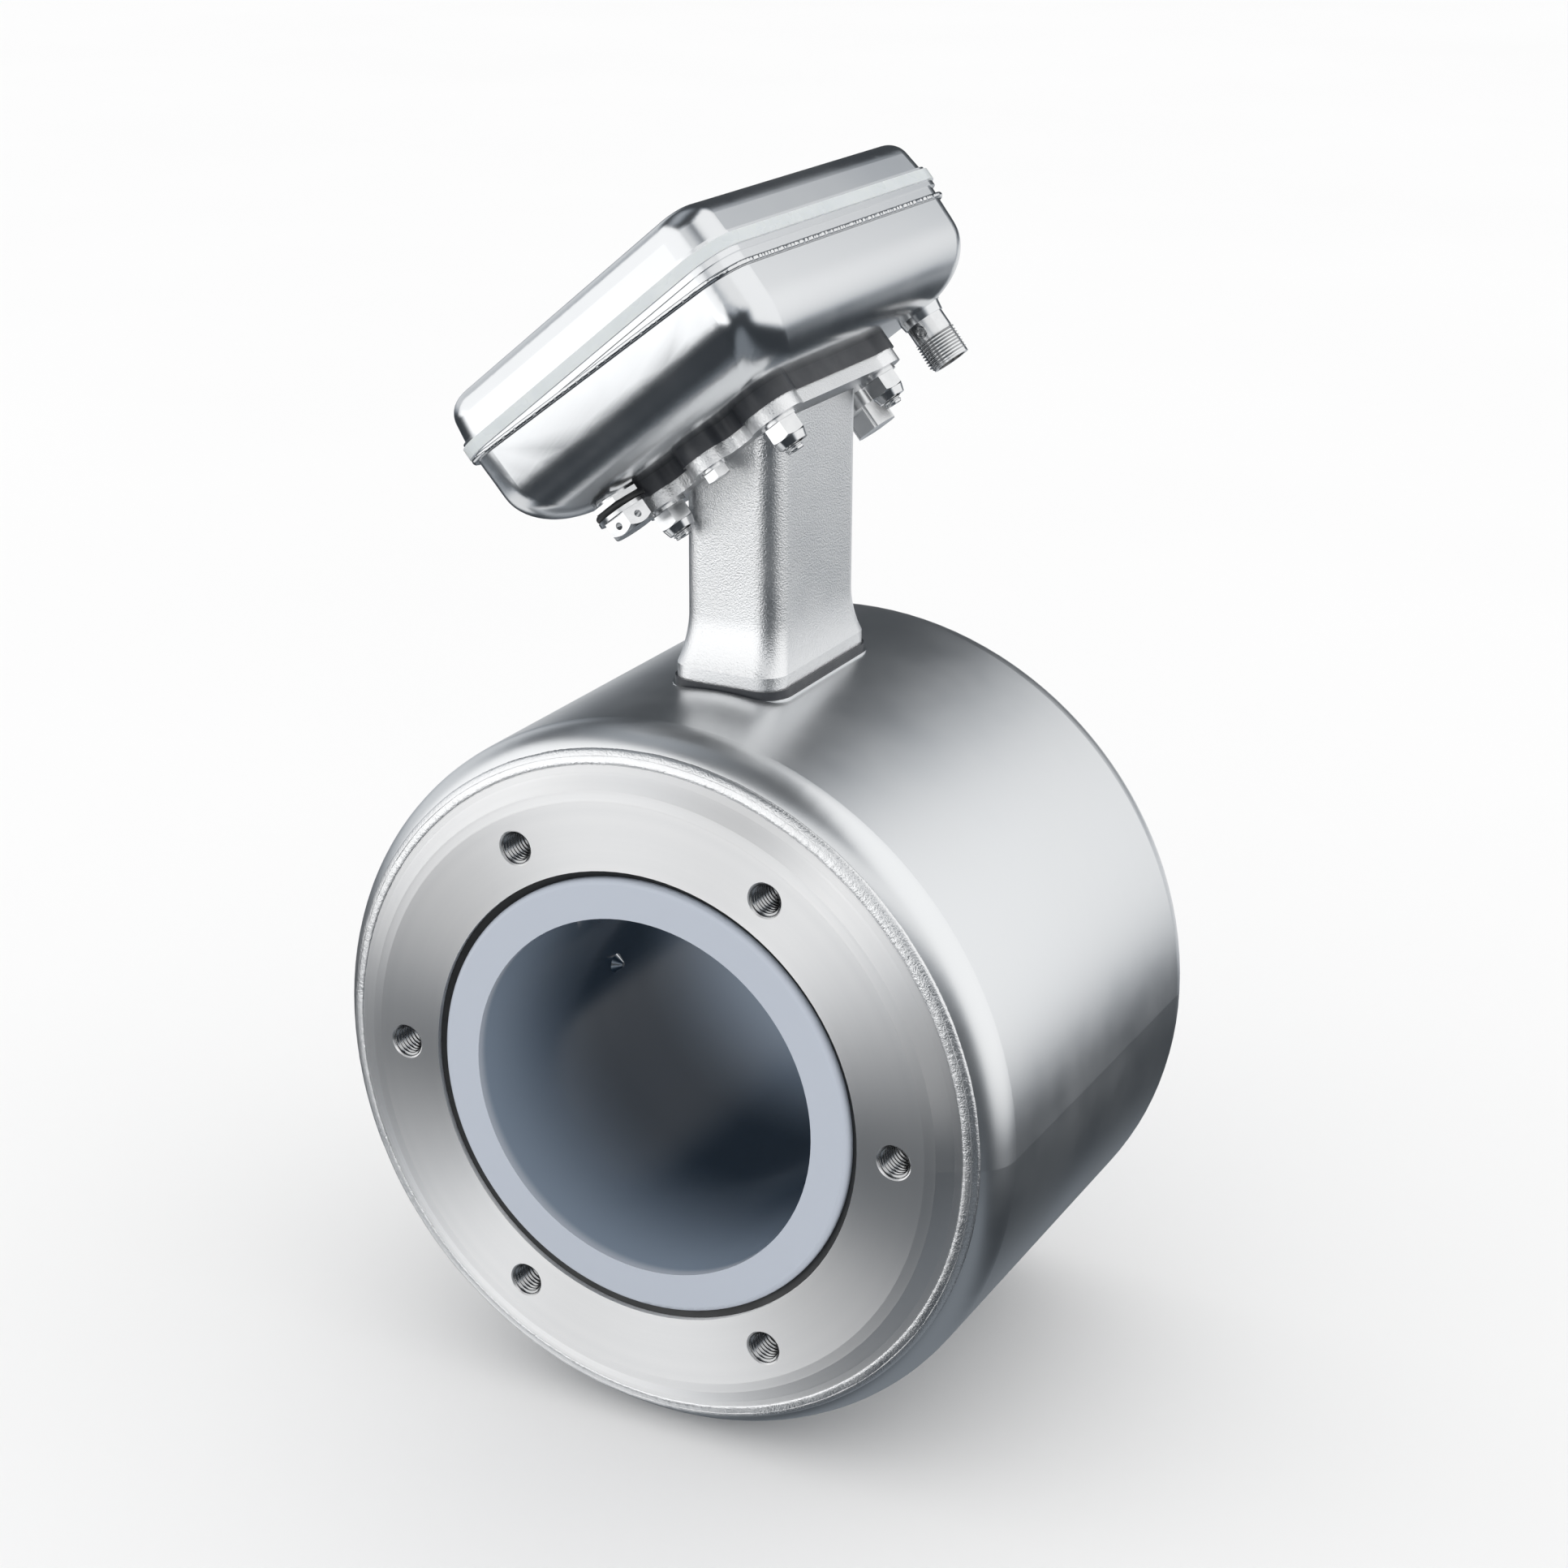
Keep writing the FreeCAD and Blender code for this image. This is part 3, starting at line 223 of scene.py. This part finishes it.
def head_steel():
    """Deep-drawn sheet, softly brushed, with faint drawing marks that run up its sides."""
    m = Build("head_steel")
    m.set(Metallic=1.0)
    slow = m.noise(18.0, detail=4.0, rough=0.6)
    m.colour(slow, (0.66, 0.675, 0.69), (0.75, 0.76, 0.77))
    m.rough(slow, 0.18, 0.25)
    upright = m.mapped(m.place, Rotation=(0, math.atan2(HEAD_UP.x, HEAD_UP.z), 0))
    squeezed = m.mapped(upright, Scale=STREAK_SCALE)
    streaks = m.noise(700.0, detail=3.0, rough=0.6, vector=squeezed)
    rim_level = reach("band_seal", HEAD_UP)[0]
    below_rim = m.math("SUBTRACT", rim_level, m.along(m.place, HEAD_UP))
    depth = m.math("MAXIMUM", below_rim, 0.0)
    belly = m.math("MULTIPLY", m.math("MULTIPLY", depth, depth), -BULGE)
    m.bump((belly, 1.0, 1.0), (streaks, 0.00005, 0.12),
           (m.noise(2200.0, detail=2.0), 0.00003, 0.10))
    return m.material


def turned_steel():
    """Lathe-turned: fine circular grooves that fan the light out across them."""
    m = Build("ring_steel")
    m.set(Metallic=1.0, Anisotropic=0.95, Anisotropic_Rotation=0.25)
    tangent = m.add("ShaderNodeTangent", direction_type="RADIAL", axis="Y")
    m.link(tangent.outputs["Tangent"], m.shader.inputs["Tangent"])
    x, y, z = m.split()
    radius = m.math("SQRT", m.math("ADD", m.math("MULTIPLY", x, x), m.math("MULTIPLY", z, z)))
    across = m.add("ShaderNodeCombineXYZ")
    m.link(radius, across.inputs["X"])
    m.link(y, across.inputs["Y"])
    grooves = m.noise(2600.0, detail=4.0, rough=0.7, vector=across.outputs["Vector"])
    bands = m.noise(260.0, detail=2.0, rough=0.5, vector=across.outputs["Vector"])
    m.colour(bands, (0.90, 0.905, 0.91), (0.97, 0.97, 0.97))
    m.rough(grooves, 0.42, 0.50)
    m.bump((grooves, 0.00003, 0.22))
    return m.material


# Where the liner changes colour, in metres from its end: the thin sleeve grows lighter
# over the first span, which is painted shade that darkens it deeper into the bore, and
# turns into the thick collar over the second.
SLEEVE_SHADE_FADE = (0.070, 0.004)
COLLAR_FADE = (0.0045, 0.0005)
SLEEVE_DEEP_SHADE = (0.034, 0.055, 0.084)
SLEEVE_MOUTH = (0.26, 0.32, 0.40)
COLLAR_COLOUR = (0.49, 0.53, 0.60)


def liner_plastic():
    """Milky fluoropolymer: bluish white at the collar, darker where it thinly lines the bore.
    The lining's darkening deeper into the bore is painted shade.
    """
    m = Build("liner_plastic")
    half = BODY_LENGTH / 2
    from_middle = m.math("ABSOLUTE", m.math("SUBTRACT", m.split()["Y"], half))

    def fade(span):
        return m.ramp(from_middle, half - span[0], half - span[1])

    # Painted shade: the sleeve darkens from its mouth deeper into the bore.
    sleeve = m.mix(fade(SLEEVE_SHADE_FADE), SLEEVE_DEEP_SHADE, SLEEVE_MOUTH)
    m.colour(fade(COLLAR_FADE), sleeve, COLLAR_COLOUR)
    m.set(Specular_IOR_Level=0.28, Coat_Weight=0.06, Coat_Roughness=0.12, IOR=1.36)
    m.rough(m.noise(35.0), 0.16, 0.24)
    m.bump((m.noise(30.0, detail=2.0), 0.0006, 0.10), (m.noise(900.0, detail=2.0), 0.00002, 0.08))
    return m.material


def rubber(name, rough, dark, light):
    m = Build(name)
    m.colour(m.noise(300.0, detail=4.0, rough=0.6), dark, light)
    m.rough(m.noise(120.0), *rough)
    m.bump((m.noise(1800.0, detail=3.0, rough=0.6), 0.00006, 0.25))
    return m.material


def band_silicone():
    m = Build("band_silicone")
    m.colour(m.noise(90.0), (0.60, 0.645, 0.67), (0.74, 0.775, 0.79))
    m.set(Subsurface_Weight=0.35, Subsurface_Radius=(0.004, 0.004, 0.005), Subsurface_Scale=1.0,
          Specular_IOR_Level=0.5)
    m.rough(m.noise(60.0), 0.24, 0.34)
    m.bump((m.noise(500.0), 0.00005, 0.15))
    return m.material


def window_glass():
    m = Build("window_glass")
    m.colour(m.noise(12.0), (0.90, 0.94, 0.95), (0.95, 0.97, 0.97))
    m.set(Transmission_Weight=0.92, IOR=1.5)
    m.rough(m.noise(50.0), 0.02, 0.05)
    m.bump((m.noise(25.0), 0.0001, 0.03))
    return m.material


def bright_metal(name, rough, dark, light):
    m = Build(name)
    m.set(Metallic=1.0)
    m.colour(m.noise(400.0), dark, light)
    m.rough(m.noise(160.0), *rough)
    m.bump((m.noise(1500.0), 0.00004, 0.14))
    return m.material


def display_black():
    m = Build("display_black")
    m.colour(m.noise(40.0), (0.010, 0.012, 0.015), (0.022, 0.025, 0.030))
    m.rough(m.noise(60.0), 0.12, 0.2)
    m.bump((m.noise(900.0), 0.00002, 0.1))
    return m.material


def board_green():
    m = Build("board_green")
    traces = m.add("ShaderNodeTexBrick")
    traces.inputs["Scale"].default_value = 220.0
    traces.inputs["Color1"].default_value = (0.02, 0.12, 0.05, 1)
    traces.inputs["Color2"].default_value = (0.03, 0.16, 0.07, 1)
    traces.inputs["Mortar"].default_value = (0.05, 0.22, 0.10, 1)
    m.link(m.place, traces.inputs["Vector"])
    m.link(traces.outputs["Color"], m.shader.inputs["Base Color"])
    m.rough(m.noise(90.0), 0.3, 0.4)
    m.bump((traces.outputs["Fac"], 0.00003, 0.3))
    return m.material


# Name, then roughness, dark tone and light tone.
METALS = (
    ("tube_steel", (0.30, 0.38), (0.78, 0.785, 0.79), (0.88, 0.885, 0.89)),
    ("fastener_steel", (0.13, 0.22), (0.62, 0.63, 0.64), (0.76, 0.765, 0.77)),
    # The thread tone below is darker, partly for oil on the cut steel and partly as painted shade
    # in the grooves, holes and screw socket.
    ("thread_oil_and_shade", (0.12, 0.20), (0.40, 0.405, 0.41), (0.50, 0.505, 0.51)),
    ("fitting_steel", (0.16, 0.24), (0.64, 0.65, 0.66), (0.77, 0.775, 0.78)),
    ("contact_gold", (0.15, 0.25), (0.80, 0.56, 0.20), (0.92, 0.68, 0.28)),
    ("coil_copper", (0.28, 0.4), (0.62, 0.28, 0.14), (0.78, 0.38, 0.20)),
    ("magnet_iron", (0.4, 0.5), (0.28, 0.28, 0.29), (0.36, 0.36, 0.37)),
    ("electrode_steel", (0.10, 0.18), (0.82, 0.82, 0.81), (0.92, 0.92, 0.91)),
    ("standoff_brass", (0.25, 0.35), (0.62, 0.48, 0.22), (0.74, 0.58, 0.28)),
)
RUBBERS = (
    ("seal_rubber", (0.42, 0.55), (0.010, 0.011, 0.012), (0.022, 0.024, 0.026)),
    ("gasket_rubber", (0.34, 0.46), (0.026, 0.029, 0.035), (0.050, 0.055, 0.064)),
    ("contact_plastic", (0.30, 0.42), (0.014, 0.014, 0.015), (0.028, 0.028, 0.03)),
)
# The metals in view keep their whole roughness range on one side of 0.274, since the
# denoiser leaves dark specks where a range crosses it.
FINISHES = {
    "shell_steel": grained_steel("shell_steel", (0.70, 0.715, 0.73), (0.80, 0.81, 0.815),
                                 rough=(0.29, 0.35), depth=0.00006, strength=0.12, drift=22.0),
    "cast_steel": grained_steel("cast_steel", (0.74, 0.75, 0.76), (0.84, 0.845, 0.85),
                                rough=(0.28, 0.36), depth=0.00025, strength=0.60, drift=60.0),
    "ring_steel": turned_steel(),
    "head_steel": head_steel(),
    "liner_plastic": liner_plastic(),
    "band_silicone": band_silicone(),
    "window_glass": window_glass(),
    "display_black": display_black(),
    "board_green": board_green(),
}
FINISHES.update((row[0], bright_metal(*row)) for row in METALS)
FINISHES.update((row[0], rubber(*row)) for row in RUBBERS)

for node in NODES.values():
    for slot in node.material_slots:
        base = slot.material.name.split(".")[0]
        slot.material = FINISHES[base]


# ---- mesh helpers ----
MERGE = 1e-7


def piece(name, bm, finish, look=None):
    """Turn a bmesh into a piece. look is a material that differs from the slot's own."""
    bmesh.ops.remove_doubles(bm, verts=bm.verts, dist=MERGE)
    bmesh.ops.dissolve_degenerate(bm, dist=MERGE, edges=bm.edges)
    bmesh.ops.recalc_face_normals(bm, faces=bm.faces)
    mesh = bpy.data.meshes.new(name)
    bm.to_mesh(mesh)
    bm.free()
    for face in mesh.polygons:
        face.use_smooth = True
    obj = bpy.data.objects.new(name, mesh)
    bpy.context.scene.collection.objects.link(obj)
    obj.data.materials.append(FINISHES[look or finish])
    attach(obj, "root")
    return obj


def skin(bm, rows, closed=False):
    """Quads between closed rows of points. closed also joins the last row to the first."""
    verts = [[bm.verts.new(p) for p in row] for row in rows]
    count = len(verts[0])
    for i in range(len(verts) - (0 if closed else 1)):
        a, b = verts[i], verts[(i + 1) % len(verts)]
        for k in range(count):
            n = (k + 1) % count
            bm.faces.new((a[k], a[n], b[n], b[k]))


def spun(bm, place, profile, around):
    """Surface of revolution from (radius, height) points; a radius of 0 closes it."""
    rows = []
    for radius, height in profile:
        ring = []
        for k in range(around):
            t = 2 * math.pi * k / around
            ring.append(place @ Vector((radius * math.cos(t), radius * math.sin(t), height)))
        rows.append(ring)
    skin(bm, rows)


# A thread's ridge: half its width as a share of the pitch, and how far the V would rise
# past the crest, where it is cut flat.
RIDGE_HALF = 0.42
RIDGE_RISE = 1.15


def helix(bm, place, low, high, pitch, root, crest, taper, around=40, steps=6):
    """V-thread between two heights. taper is the length of the run-in at the low end."""
    turns = int(math.ceil((high - low) / pitch)) + 2
    columns = []
    for k in range(around + 1):
        t = 2 * math.pi * k / around
        column = []
        for i in range(turns * steps + 1):
            z = low + (i / steps - 1 + k / around) * pitch
            phase = i % steps / steps
            ridge = max(0.0, 1 - abs(phase - 0.5) / RIDGE_HALF)
            radius = root + (crest - root) * min(1.0, ridge * RIDGE_RISE)
            z = min(max(z, low), high)
            if z < low + taper:
                limit = root + (crest - root) * (z - low) / taper
                radius = min(radius, limit) if crest > root else max(radius, limit)
            column.append(place @ Vector((radius * math.cos(t), radius * math.sin(t), z)))
        columns.append(column)
    for k in range(around):
        a = [bm.verts.new(p) for p in columns[k]]
        b = [bm.verts.new(p) for p in columns[k + 1]]
        for i in range(len(a) - 1):
            bm.faces.new((a[i], b[i], b[i + 1], a[i + 1]))


# ---- threads in the bolt holes ----
BOLT_START = 0.35 * MM
BOLT_DEPTH = 13.6 * MM
BOLT_PITCH = 1.5 * MM
BOLT_RIDGE = 0.92 * MM
BOLT_SINK = 0.02 * MM
BOLT_TAPER = 0.9 * MM


def bolt_threads(mount):
    bm = bmesh.new()
    facing = Vector(mount["axis"])
    dims = mount["dims"]
    circle, hole = dims["pcd_mm"] * MM / 2, dims["hole_r_mm"] * MM
    for i in range(dims["count"]):
        t = 2 * math.pi * i / dims["count"]
        mouth = Vector(mount["pos_m"]) + Vector((math.cos(t), 0, math.sin(t))) * circle
        place = seat_matrix(mouth, -facing, Vector((1, 0, 0)))
        helix(bm, place, BOLT_START, BOLT_DEPTH, BOLT_PITCH, hole + BOLT_SINK,
              hole - BOLT_RIDGE, BOLT_TAPER)
    # The darker thread tone is partly oil and partly painted shade inside the holes.
    piece(mount["name"].replace("bolts", "threads"), bm, "ring_steel", look="thread_oil_and_shade")


for mount in frame["record"]["mounts"]:
    if mount["kind"] == "bolt_pattern":
        bolt_threads(mount)


# ---- weld bands between shell and rings ----
WELD_R = 103.9 * MM
WELD_Y = 5.55 * MM
WELD_SLOPE = math.radians(24)
WELD_HALF = (2.5, 0.8)          # half width and half height, mm
WELD_STEPS = 1500
WELD_SECTION = 14
# The speckle and the slow drift of the band's edge, each as depth in mm and scale.
WELD_GRAIN = (0.10, 1.3)
WELD_DRIFT = (0.12, 0.12)
# Where the noise is read: a circle of this radius, one step along for each section point.
WELD_NOISE_R = 110
WELD_NOISE_STEP = 1.6


def weld_bead(name, y, side):
    """Ground-down weld: a low speckled band that bridges ring and shell."""
    bm = bmesh.new()
    along = Vector((math.cos(WELD_SLOPE), math.sin(WELD_SLOPE)))
    proud = Vector((math.sin(WELD_SLOPE), -math.cos(WELD_SLOPE)))
    rows = []
    for i in range(WELD_STEPS):
        t = 2 * math.pi * i / WELD_STEPS
        ring = []
        for k in range(WELD_SECTION):
            u = 2 * math.pi * k / WELD_SECTION
            spot = Vector((WELD_NOISE_R * math.cos(t), WELD_NOISE_R * math.sin(t),
                           WELD_NOISE_STEP * k))
            grain = sum(depth * noise.noise(scale * spot)
                        for depth, scale in (WELD_GRAIN, WELD_DRIFT))
            flat = (along * (WELD_HALF[0] + grain) * math.cos(u)
                    + proud * (WELD_HALF[1] + grain) * math.sin(u))
            r = WELD_R + flat.x * MM
            h = y - side * flat.y * MM
            ring.append(Vector((r * math.cos(t), h, r * math.sin(t))))
        rows.append(ring)
    skin(bm, rows, closed=True)
    piece(name, bm, "cast_steel")


weld_bead("weld_bead_inlet", WELD_Y, -1)
weld_bead("weld_bead_outlet", BODY_LENGTH - WELD_Y, 1)


# ---- studs with real threads ----
STUD_R = 3.0 * MM
STUD_ROOT = 2.5 * MM
STUD_PITCH = 1.0 * MM
STUD_THREAD = 12 * MM
STUD_TAPER = 1.0 * MM
STUD_PAST_NUT = 1.7 * MM
STUD_END_ROUND = 0.9 * MM
STUD_END_ANGLES = (0.0, 0.4, 0.8, 1.2, 1.57)
STUD_HEAD_R = 5.0 * MM
STUD_HEAD = 2.5 * MM
STUD_CHAMFER = 0.4 * MM
STUD_AROUND = 32


def threaded_stud(node):
    high = reach(node, HEAD_UP)[1]
    low = reach(node.replace("stud", "lock_nut"), HEAD_UP)[0] - STUD_PAST_NUT
    place = seat_matrix(on_head_axis(node, low), HEAD_UP, HEAD_ACROSS)
    top = high - low
    head = top - STUD_HEAD
    bm = bmesh.new()
    helix(bm, place, 0.0, STUD_THREAD, STUD_PITCH, STUD_ROOT, STUD_R, STUD_TAPER, STUD_AROUND)
    spun(bm, place, [(STUD_ROOT * math.sin(a), STUD_END_ROUND * (1 - math.cos(a)))
                     for a in STUD_END_ANGLES], STUD_AROUND)
    spun(bm, place, [(STUD_ROOT, STUD_THREAD), (STUD_R, STUD_THREAD + STUD_CHAMFER),
                     (STUD_R, head), (STUD_HEAD_R, head), (STUD_HEAD_R, top - STUD_CHAMFER),
                     (STUD_HEAD_R - STUD_CHAMFER, top), (0.0, top)], STUD_AROUND)
    made = piece(node + "_threaded", bm, "fastener_steel")
    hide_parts(node)


for index in range(1, 5):
    threaded_stud("stud_%d" % index)


# ---- signal plug: fine thread, and the small socket screw in its collar ----
PLUG_END = reach("connector_body", HEAD_UP)[0]
PLUG_THREAD = (0.5 * MM, 9.4 * MM)
PLUG_PITCH = 1.0 * MM
PLUG_ROOT = 5.75 * MM
PLUG_CREST = 6.65 * MM
PLUG_TAPER = 0.8 * MM
PLUG_AROUND = 56
SET_SCREW_UP = 12.1 * MM
SET_SCREW_OUT = 6.2 * MM
SET_SCREW_AROUND = 24
# Radius and height in mm, from the rim inwards and down into the socket.
SET_SCREW_OUTLINE = ((1.9, -0.6), (1.9, 0.10), (1.6, 0.30), (1.25, 0.30), (1.25, -0.1),
                     (0.95, -0.1), (0.75, 0.15), (0.55, -0.5), (0.0, -0.5))


def connector_thread():
    bm = bmesh.new()
    place = seat_matrix(on_head_axis("connector_body", PLUG_END), HEAD_UP, HEAD_ACROSS)
    helix(bm, place, *PLUG_THREAD, PLUG_PITCH, PLUG_ROOT, PLUG_CREST, PLUG_TAPER, PLUG_AROUND)
    # The darker thread tone is partly oil and partly painted shade between the ridges.
    piece("connector_thread", bm, "fitting_steel", look="thread_oil_and_shade")


def connector_set_screw():
    """It sits on the side that faces the inlet."""
    axis_point = on_head_axis("connector_body", PLUG_END + SET_SCREW_UP)
    place = seat_matrix(axis_point - FLOW * SET_SCREW_OUT, -FLOW, HEAD_UP)
    bm = bmesh.new()
    spun(bm, place, [(r * MM, h * MM) for r, h in SET_SCREW_OUTLINE], SET_SCREW_AROUND)
    # The darker thread tone is partly oil and partly painted shade inside the socket.
    piece("connector_set_screw", bm, "fitting_steel", look="thread_oil_and_shade")


connector_thread()
connector_set_screw()


# ---- rolled edge under the sealing band ----
RIM_CORNER = 12.0 * MM
RIM_INSET = 0.7 * MM
RIM_HEIGHT = 1.9 * MM
RIM_STEP = 0.4 * MM
LEAST_BENDS = 6
# Outwards in mm, and height as a share of RIM_HEIGHT.
RIM_SECTION = ((-0.5, 0.12), (0.25, 0.22), (0.52, 0.48), (0.52, 0.75), (0.2, 0.96), (-0.5, 1.0))
# Depth in mm and scale of each set of ripples.
RIM_RIPPLES = ((0.22, 900), (0.10, 2200))


def rounded_outline(half_x, half_y, corner, step):
    """Points and outward directions round a rounded rectangle, about one step apart."""
    found = []
    for cx, cy, start in ((1, 1, 0), (-1, 1, 90), (-1, -1, 180), (1, -1, 270)):
        middle = Vector((cx * (half_x - corner), cy * (half_y - corner)))
        bends = max(LEAST_BENDS, int(math.pi / 2 * corner / step))
        for k in range(bends + 1):
            a = math.radians(start + 90 * k / bends)
            out = Vector((math.cos(a), math.sin(a)))
            found.append((middle + out * corner, out))
        run = 2 * ((half_x if start in (0, 180) else half_y) - corner)
        ahead = Vector((-out.y, out.x))
        last = found[-1][0]
        cuts = int(run / step)
        found += [(last + ahead * run * k / cuts, out) for k in range(1, cuts)]
    return found


def rim_ripple(spot):
    return sum(depth * noise.noise(Vector((spot.x, spot.y, layer)) * scale)
               for layer, (depth, scale) in enumerate(RIM_RIPPLES))


def half_width(node, axis):
    low, high = reach(node, axis)
    return (high - low) / 2


def rolled_rim():
    """The tub's edge: rolled over, and finely rippled where it was pressed."""
    top = on_head_axis("band_seal", reach("band_seal", HEAD_UP)[0])
    place = seat_matrix(top, HEAD_UP, HEAD_ACROSS)
    half_x = half_width("band_seal", HEAD_ACROSS) - RIM_INSET
    half_y = half_width("band_seal", FLOW) - RIM_INSET
    rows = []
    for spot, out in rounded_outline(half_x, half_y, RIM_CORNER, RIM_STEP):
        ripple = rim_ripple(spot)
        row = []
        for outwards, share in RIM_SECTION:
            # Only the outer face ripples.
            proud = outwards + (ripple if outwards > 0 else 0)
            row.append(place @ Vector((*(spot + out * proud * MM), (share - 1) * RIM_HEIGHT)))
        rows.append(row)
    bm = bmesh.new()
    skin(bm, rows, closed=True)
    piece("rolled_rim", bm, "fastener_steel")


rolled_rim()


# ---- camera ----
PIXELS = 1932
CAMERA_PLACE = (0.40344, -0.68362, 0.39564)
AZIMUTH, ELEVATION, ROLL = (math.radians(a) for a in (29.466, 19.375, -0.312))
FOCAL_PIXELS = 3692.4
PRINCIPAL = (848.5, 893.1)
SENSOR_WIDTH = 36.0
NEAREST, FARTHEST = 0.01, 50.0


def camera():
    back = Vector((math.sin(AZIMUTH) * math.cos(ELEVATION),
                   -math.cos(AZIMUTH) * math.cos(ELEVATION), math.sin(ELEVATION)))
    level = Vector((0, 0, 1)).cross(back).normalized()
    upright = back.cross(level)
    right = level * math.cos(ROLL) + upright * math.sin(ROLL)
    up = upright * math.cos(ROLL) - level * math.sin(ROLL)
    data = bpy.data.cameras.new("camera")
    data.sensor_width = SENSOR_WIDTH
    data.lens = FOCAL_PIXELS / PIXELS * SENSOR_WIDTH
    data.shift_x = (PIXELS / 2 - PRINCIPAL[0]) / PIXELS
    data.shift_y = (PRINCIPAL[1] - PIXELS / 2) / PIXELS
    data.clip_start, data.clip_end = NEAREST, FARTHEST
    obj = bpy.data.objects.new("camera", data)
    turn = Matrix((right, up, back)).transposed().to_4x4()
    obj.matrix_world = Matrix.Translation(CAMERA_PLACE) @ turn
    bpy.context.scene.collection.objects.link(obj)
    bpy.context.scene.camera = obj


camera()


# ---- floor and light ----
FLOOR_HALF = 9.0
FLOOR_CELLS = 8


def floor():
    """Pale matt floor at the body's lowest line. The metal doesn't mirror it."""
    bm = bmesh.new()
    bmesh.ops.create_grid(bm, x_segments=FLOOR_CELLS, y_segments=FLOOR_CELLS, size=FLOOR_HALF)
    mesh = bpy.data.meshes.new("floor")
    bm.to_mesh(mesh)
    bm.free()
    obj = bpy.data.objects.new("floor", mesh)
    obj.location.z = -SHELL_R
    bpy.context.scene.collection.objects.link(obj)
    m = Build("floor")
    m.colour(m.noise(2.0), (0.90, 0.90, 0.90), (0.93, 0.93, 0.93))
    m.set(Roughness=0.9, Specular_IOR_Level=0.1)
    obj.data.materials.append(m.material)
    obj.visible_glossy = False


def direction(azimuth, elevation):
    """Azimuth from +Y towards +X."""
    a, e = math.radians(azimuth), math.radians(elevation)
    return Vector((math.sin(a) * math.cos(e), math.cos(a) * math.cos(e), math.sin(e)))


# The soft boxes that the metal mirrors: azimuth and elevation of the middle, half width,
# half height, softness of the sides and of the top and bottom, all in degrees, then radiance.
SOFT_BOXES = (
    (-140, 11.5, 48, 33, 5, 3, 1.25),
    (-148, -12, 40, 9, 6, 3, 1.60),
    (138, 34, 32, 17, 9, 9, 1.00),
    (66, 28, 48, 46, 11, 6, 1.12),
    (60, -72, 60, 18, 12, 8, 0.22),
    (-104, -54, 30, 17, 5, 7, 0.90),
    (-14, -14, 32, 9, 6, 4, 0.85),
    (-68, 8, 24, 15, 8, 8, 0.75),
    (160, 20, 12, 14, 9, 9, 0.60),
    (-90, 62, 26, 14, 12, 12, 0.42),
)
# What the metal mirrors between the boxes.
AMBIENT = 0.06
# The plain room: as the eye sees it, and as it lights matt surfaces.
SEEN = 1.0
ROOM = 1.1
# Dim light is cool, and bright light is white.
DIM_TINT = (0.74, 0.86, 1.0)
BRIGHT_TINT = (1.0, 1.0, 1.0)


def world():
    """Plain white room for the eye and for matt surfaces; soft boxes for the mirrored part."""
    made = bpy.data.worlds.new("studio")
    made.use_nodes = True
    bpy.context.scene.world = made
    w = Nodes(made.node_tree)
    looking = w.add("ShaderNodeTexCoord").outputs["Generated"]

    def inside(sideways, forward, half, soft):
        turned = w.math("ABSOLUTE", w.math("ARCTAN2", sideways, forward))
        return w.ramp(turned, math.radians(half + soft), math.radians(half - soft))

    total = None
    for azimuth, elevation, half_wide, half_high, side_soft, level_soft, radiance in SOFT_BOXES:
        facing = direction(azimuth, elevation)
        side = facing.cross(Vector((0, 0, 1))).normalized()
        ahead = w.along(looking, facing)
        wide = inside(w.along(looking, side), ahead, half_wide, side_soft)
        high = inside(w.along(looking, side.cross(facing)), ahead, half_high, level_soft)
        box = w.math("MULTIPLY", w.math("MULTIPLY", wide, high), radiance)
        total = box if total is None else w.math("MAXIMUM", total, box)
    mirrored = w.math("ADD", total, AMBIENT)
    rays = w.add("ShaderNodeLightPath").outputs
    seen = w.math("ADD", SEEN, w.math("MULTIPLY", rays["Is Diffuse Ray"], ROOM - SEEN))
    strength = w.add("ShaderNodeMix", data_type="FLOAT")
    w.link(rays["Is Glossy Ray"], strength.inputs["Factor"])
    w.link(seen, strength.inputs["A"])
    w.link(mirrored, strength.inputs["B"])
    light = strength.outputs["Result"]
    background = w.tree.nodes["Background"]
    w.link(w.mix(light, DIM_TINT, BRIGHT_TINT), background.inputs["Color"])
    w.link(light, background.inputs["Strength"])


floor()
world()
bpy.context.scene.view_settings.view_transform = "Standard"

bpy.context.view_layer.update()
